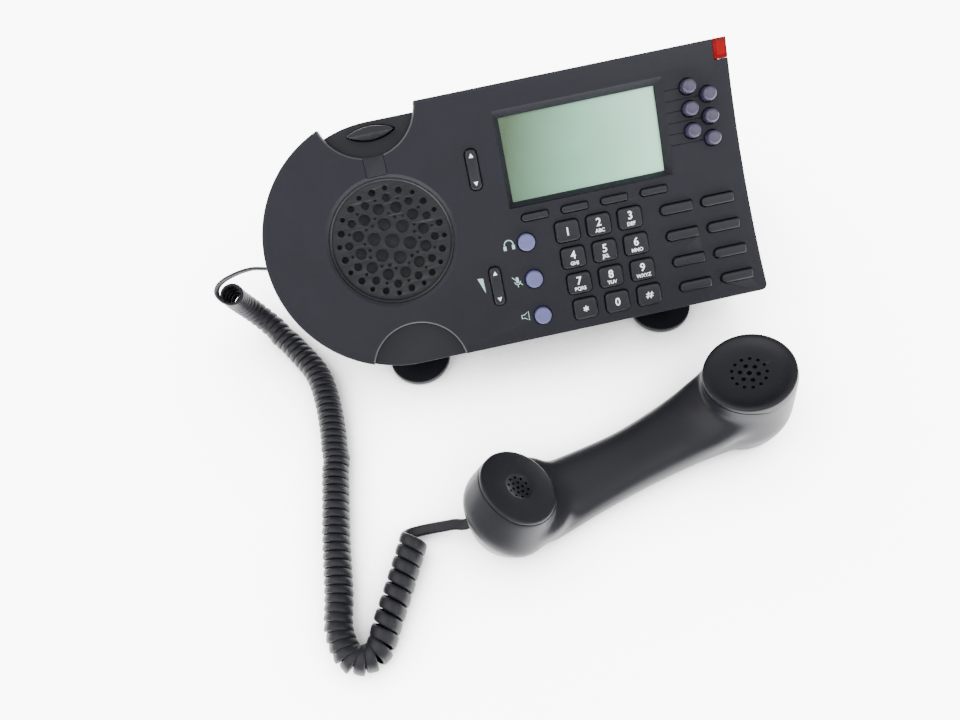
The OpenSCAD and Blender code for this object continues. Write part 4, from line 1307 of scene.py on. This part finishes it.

# vent slot under the rim of the ear cup, on the handle's side: a thin black block stands for it, its darkness painted
# shade
to = on_cup(ear_c, R_ear)
sv, sf, SN = [], [], 12
for i in range(SN + 1):
    a = math.pi + math.radians(-12.5 + 25.0 * i / SN)
    for r, h in ((EAR_R - 1.0, -5.5), (EAR_R + 0.42, -5.5), (EAR_R + 0.36, -3.5), (EAR_R - 1.0, -3.5)):
        sv.append(to(r * math.cos(a), r * math.sin(a), h))
for i in range(SN):
    for k in range(4):
        sf.append((4 * i + k, 4 * i + 4 + k, 4 * i + 4 + (k + 1) % 4, 4 * i + (k + 1) % 4))
sf += [(0, 1, 2, 3), tuple(4 * SN + k for k in (3, 2, 1, 0))]
add("ear_slot", sv, sf, M_black, "handset", None, "handset", smooth=False)

# ---------------------------------------------------------------- floor and light
fme = bpy.data.meshes.new("floor")
fme.from_pydata([(-3, -3, 0), (3, -3, 0), (3, 3, 0), (-3, 3, 0)], [], [(0, 1, 2, 3)])
floor = bpy.data.objects.new("floor", fme)
scene.collection.objects.link(floor)
M_floor = moulded("white_paper", (0.86, 0.86, 0.87), 0.7, grain=700, bump=0.1, vary=0.01, cloud=3, edge=0)
fb = M_floor.node_tree.nodes["Principled BSDF"]
fb.inputs["Emission Color"].default_value = (1, 1, 1, 1)
ft = M_floor.node_tree
# painted shadow: ambient occlusion dims the floor's glow near the objects, from 8.0 in the open down to 0.2
ao = ft.nodes.new("ShaderNodeAmbientOcclusion")
ao.inputs["Distance"].default_value = 0.10
ao.samples = 8
am = ft.nodes.new("ShaderNodeMapRange")
am.inputs["From Min"].default_value = 0.35
am.inputs["From Max"].default_value = 1.0
am.inputs["To Min"].default_value = 0.2
am.inputs["To Max"].default_value = 8.0
ft.links.new(ao.outputs["AO"], am.inputs["Value"])
ft.links.new(am.outputs["Result"], fb.inputs["Emission Strength"])
fme.materials.append(M_floor)
floor.location = (0, 0, -0.0002)

w = bpy.data.worlds.new("studio")
w.use_nodes = True
bg = w.node_tree.nodes["Background"]
bg.inputs[0].default_value = (0.97, 0.98, 1.0, 1)
# a bright ceiling above a dimmer horizon
wt = w.node_tree
w_tc = wt.nodes.new("ShaderNodeTexCoord")
w_sep = wt.nodes.new("ShaderNodeSeparateXYZ")
w_map = wt.nodes.new("ShaderNodeMapRange")
w_map.inputs["From Min"].default_value = 0.15
w_map.inputs["From Max"].default_value = 0.95
w_map.inputs["To Min"].default_value = 0.60
w_map.inputs["To Max"].default_value = 2.0
wt.links.new(w_tc.outputs["Generated"], w_sep.inputs[0])
wt.links.new(w_sep.outputs["Z"], w_map.inputs["Value"])
w_far = wt.nodes.new("ShaderNodeMapRange")
w_far.inputs["From Min"].default_value = -0.8
w_far.inputs["From Max"].default_value = 0.8
w_far.inputs["To Min"].default_value = 1.15
w_far.inputs["To Max"].default_value = 0.42
w_mul = wt.nodes.new("ShaderNodeMath")
w_mul.operation = "MULTIPLY"
wt.links.new(w_sep.outputs["Y"], w_far.inputs["Value"])
wt.links.new(w_map.outputs["Result"], w_mul.inputs[0])
wt.links.new(w_far.outputs["Result"], w_mul.inputs[1])
wt.links.new(w_mul.outputs[0], bg.inputs[1])
scene.world = w


def softbox(name, loc, look, size, power, color=(1, 1, 1)):
    l = bpy.data.lights.new(name, "AREA")
    l.shape = "RECTANGLE"
    l.size, l.size_y = size
    l.energy = power
    l.color = color
    o = bpy.data.objects.new(name, l)
    scene.collection.objects.link(o)
    d = (Vector(look) - Vector(loc)).normalized()
    o.rotation_mode = "QUATERNION"
    o.rotation_quaternion = d.to_track_quat("-Z", "Y")
    o.location = loc
    return o


softbox("key_light", (-1.0, 0.15, 1.4), (0, 0, 0), (1.8, 1.8), 26, (1.0, 0.99, 0.97))
softbox("fill_light", (0.9, -0.6, 1.3), (0, 0, 0), (1.2, 1.2), 9, (0.95, 0.97, 1.0))
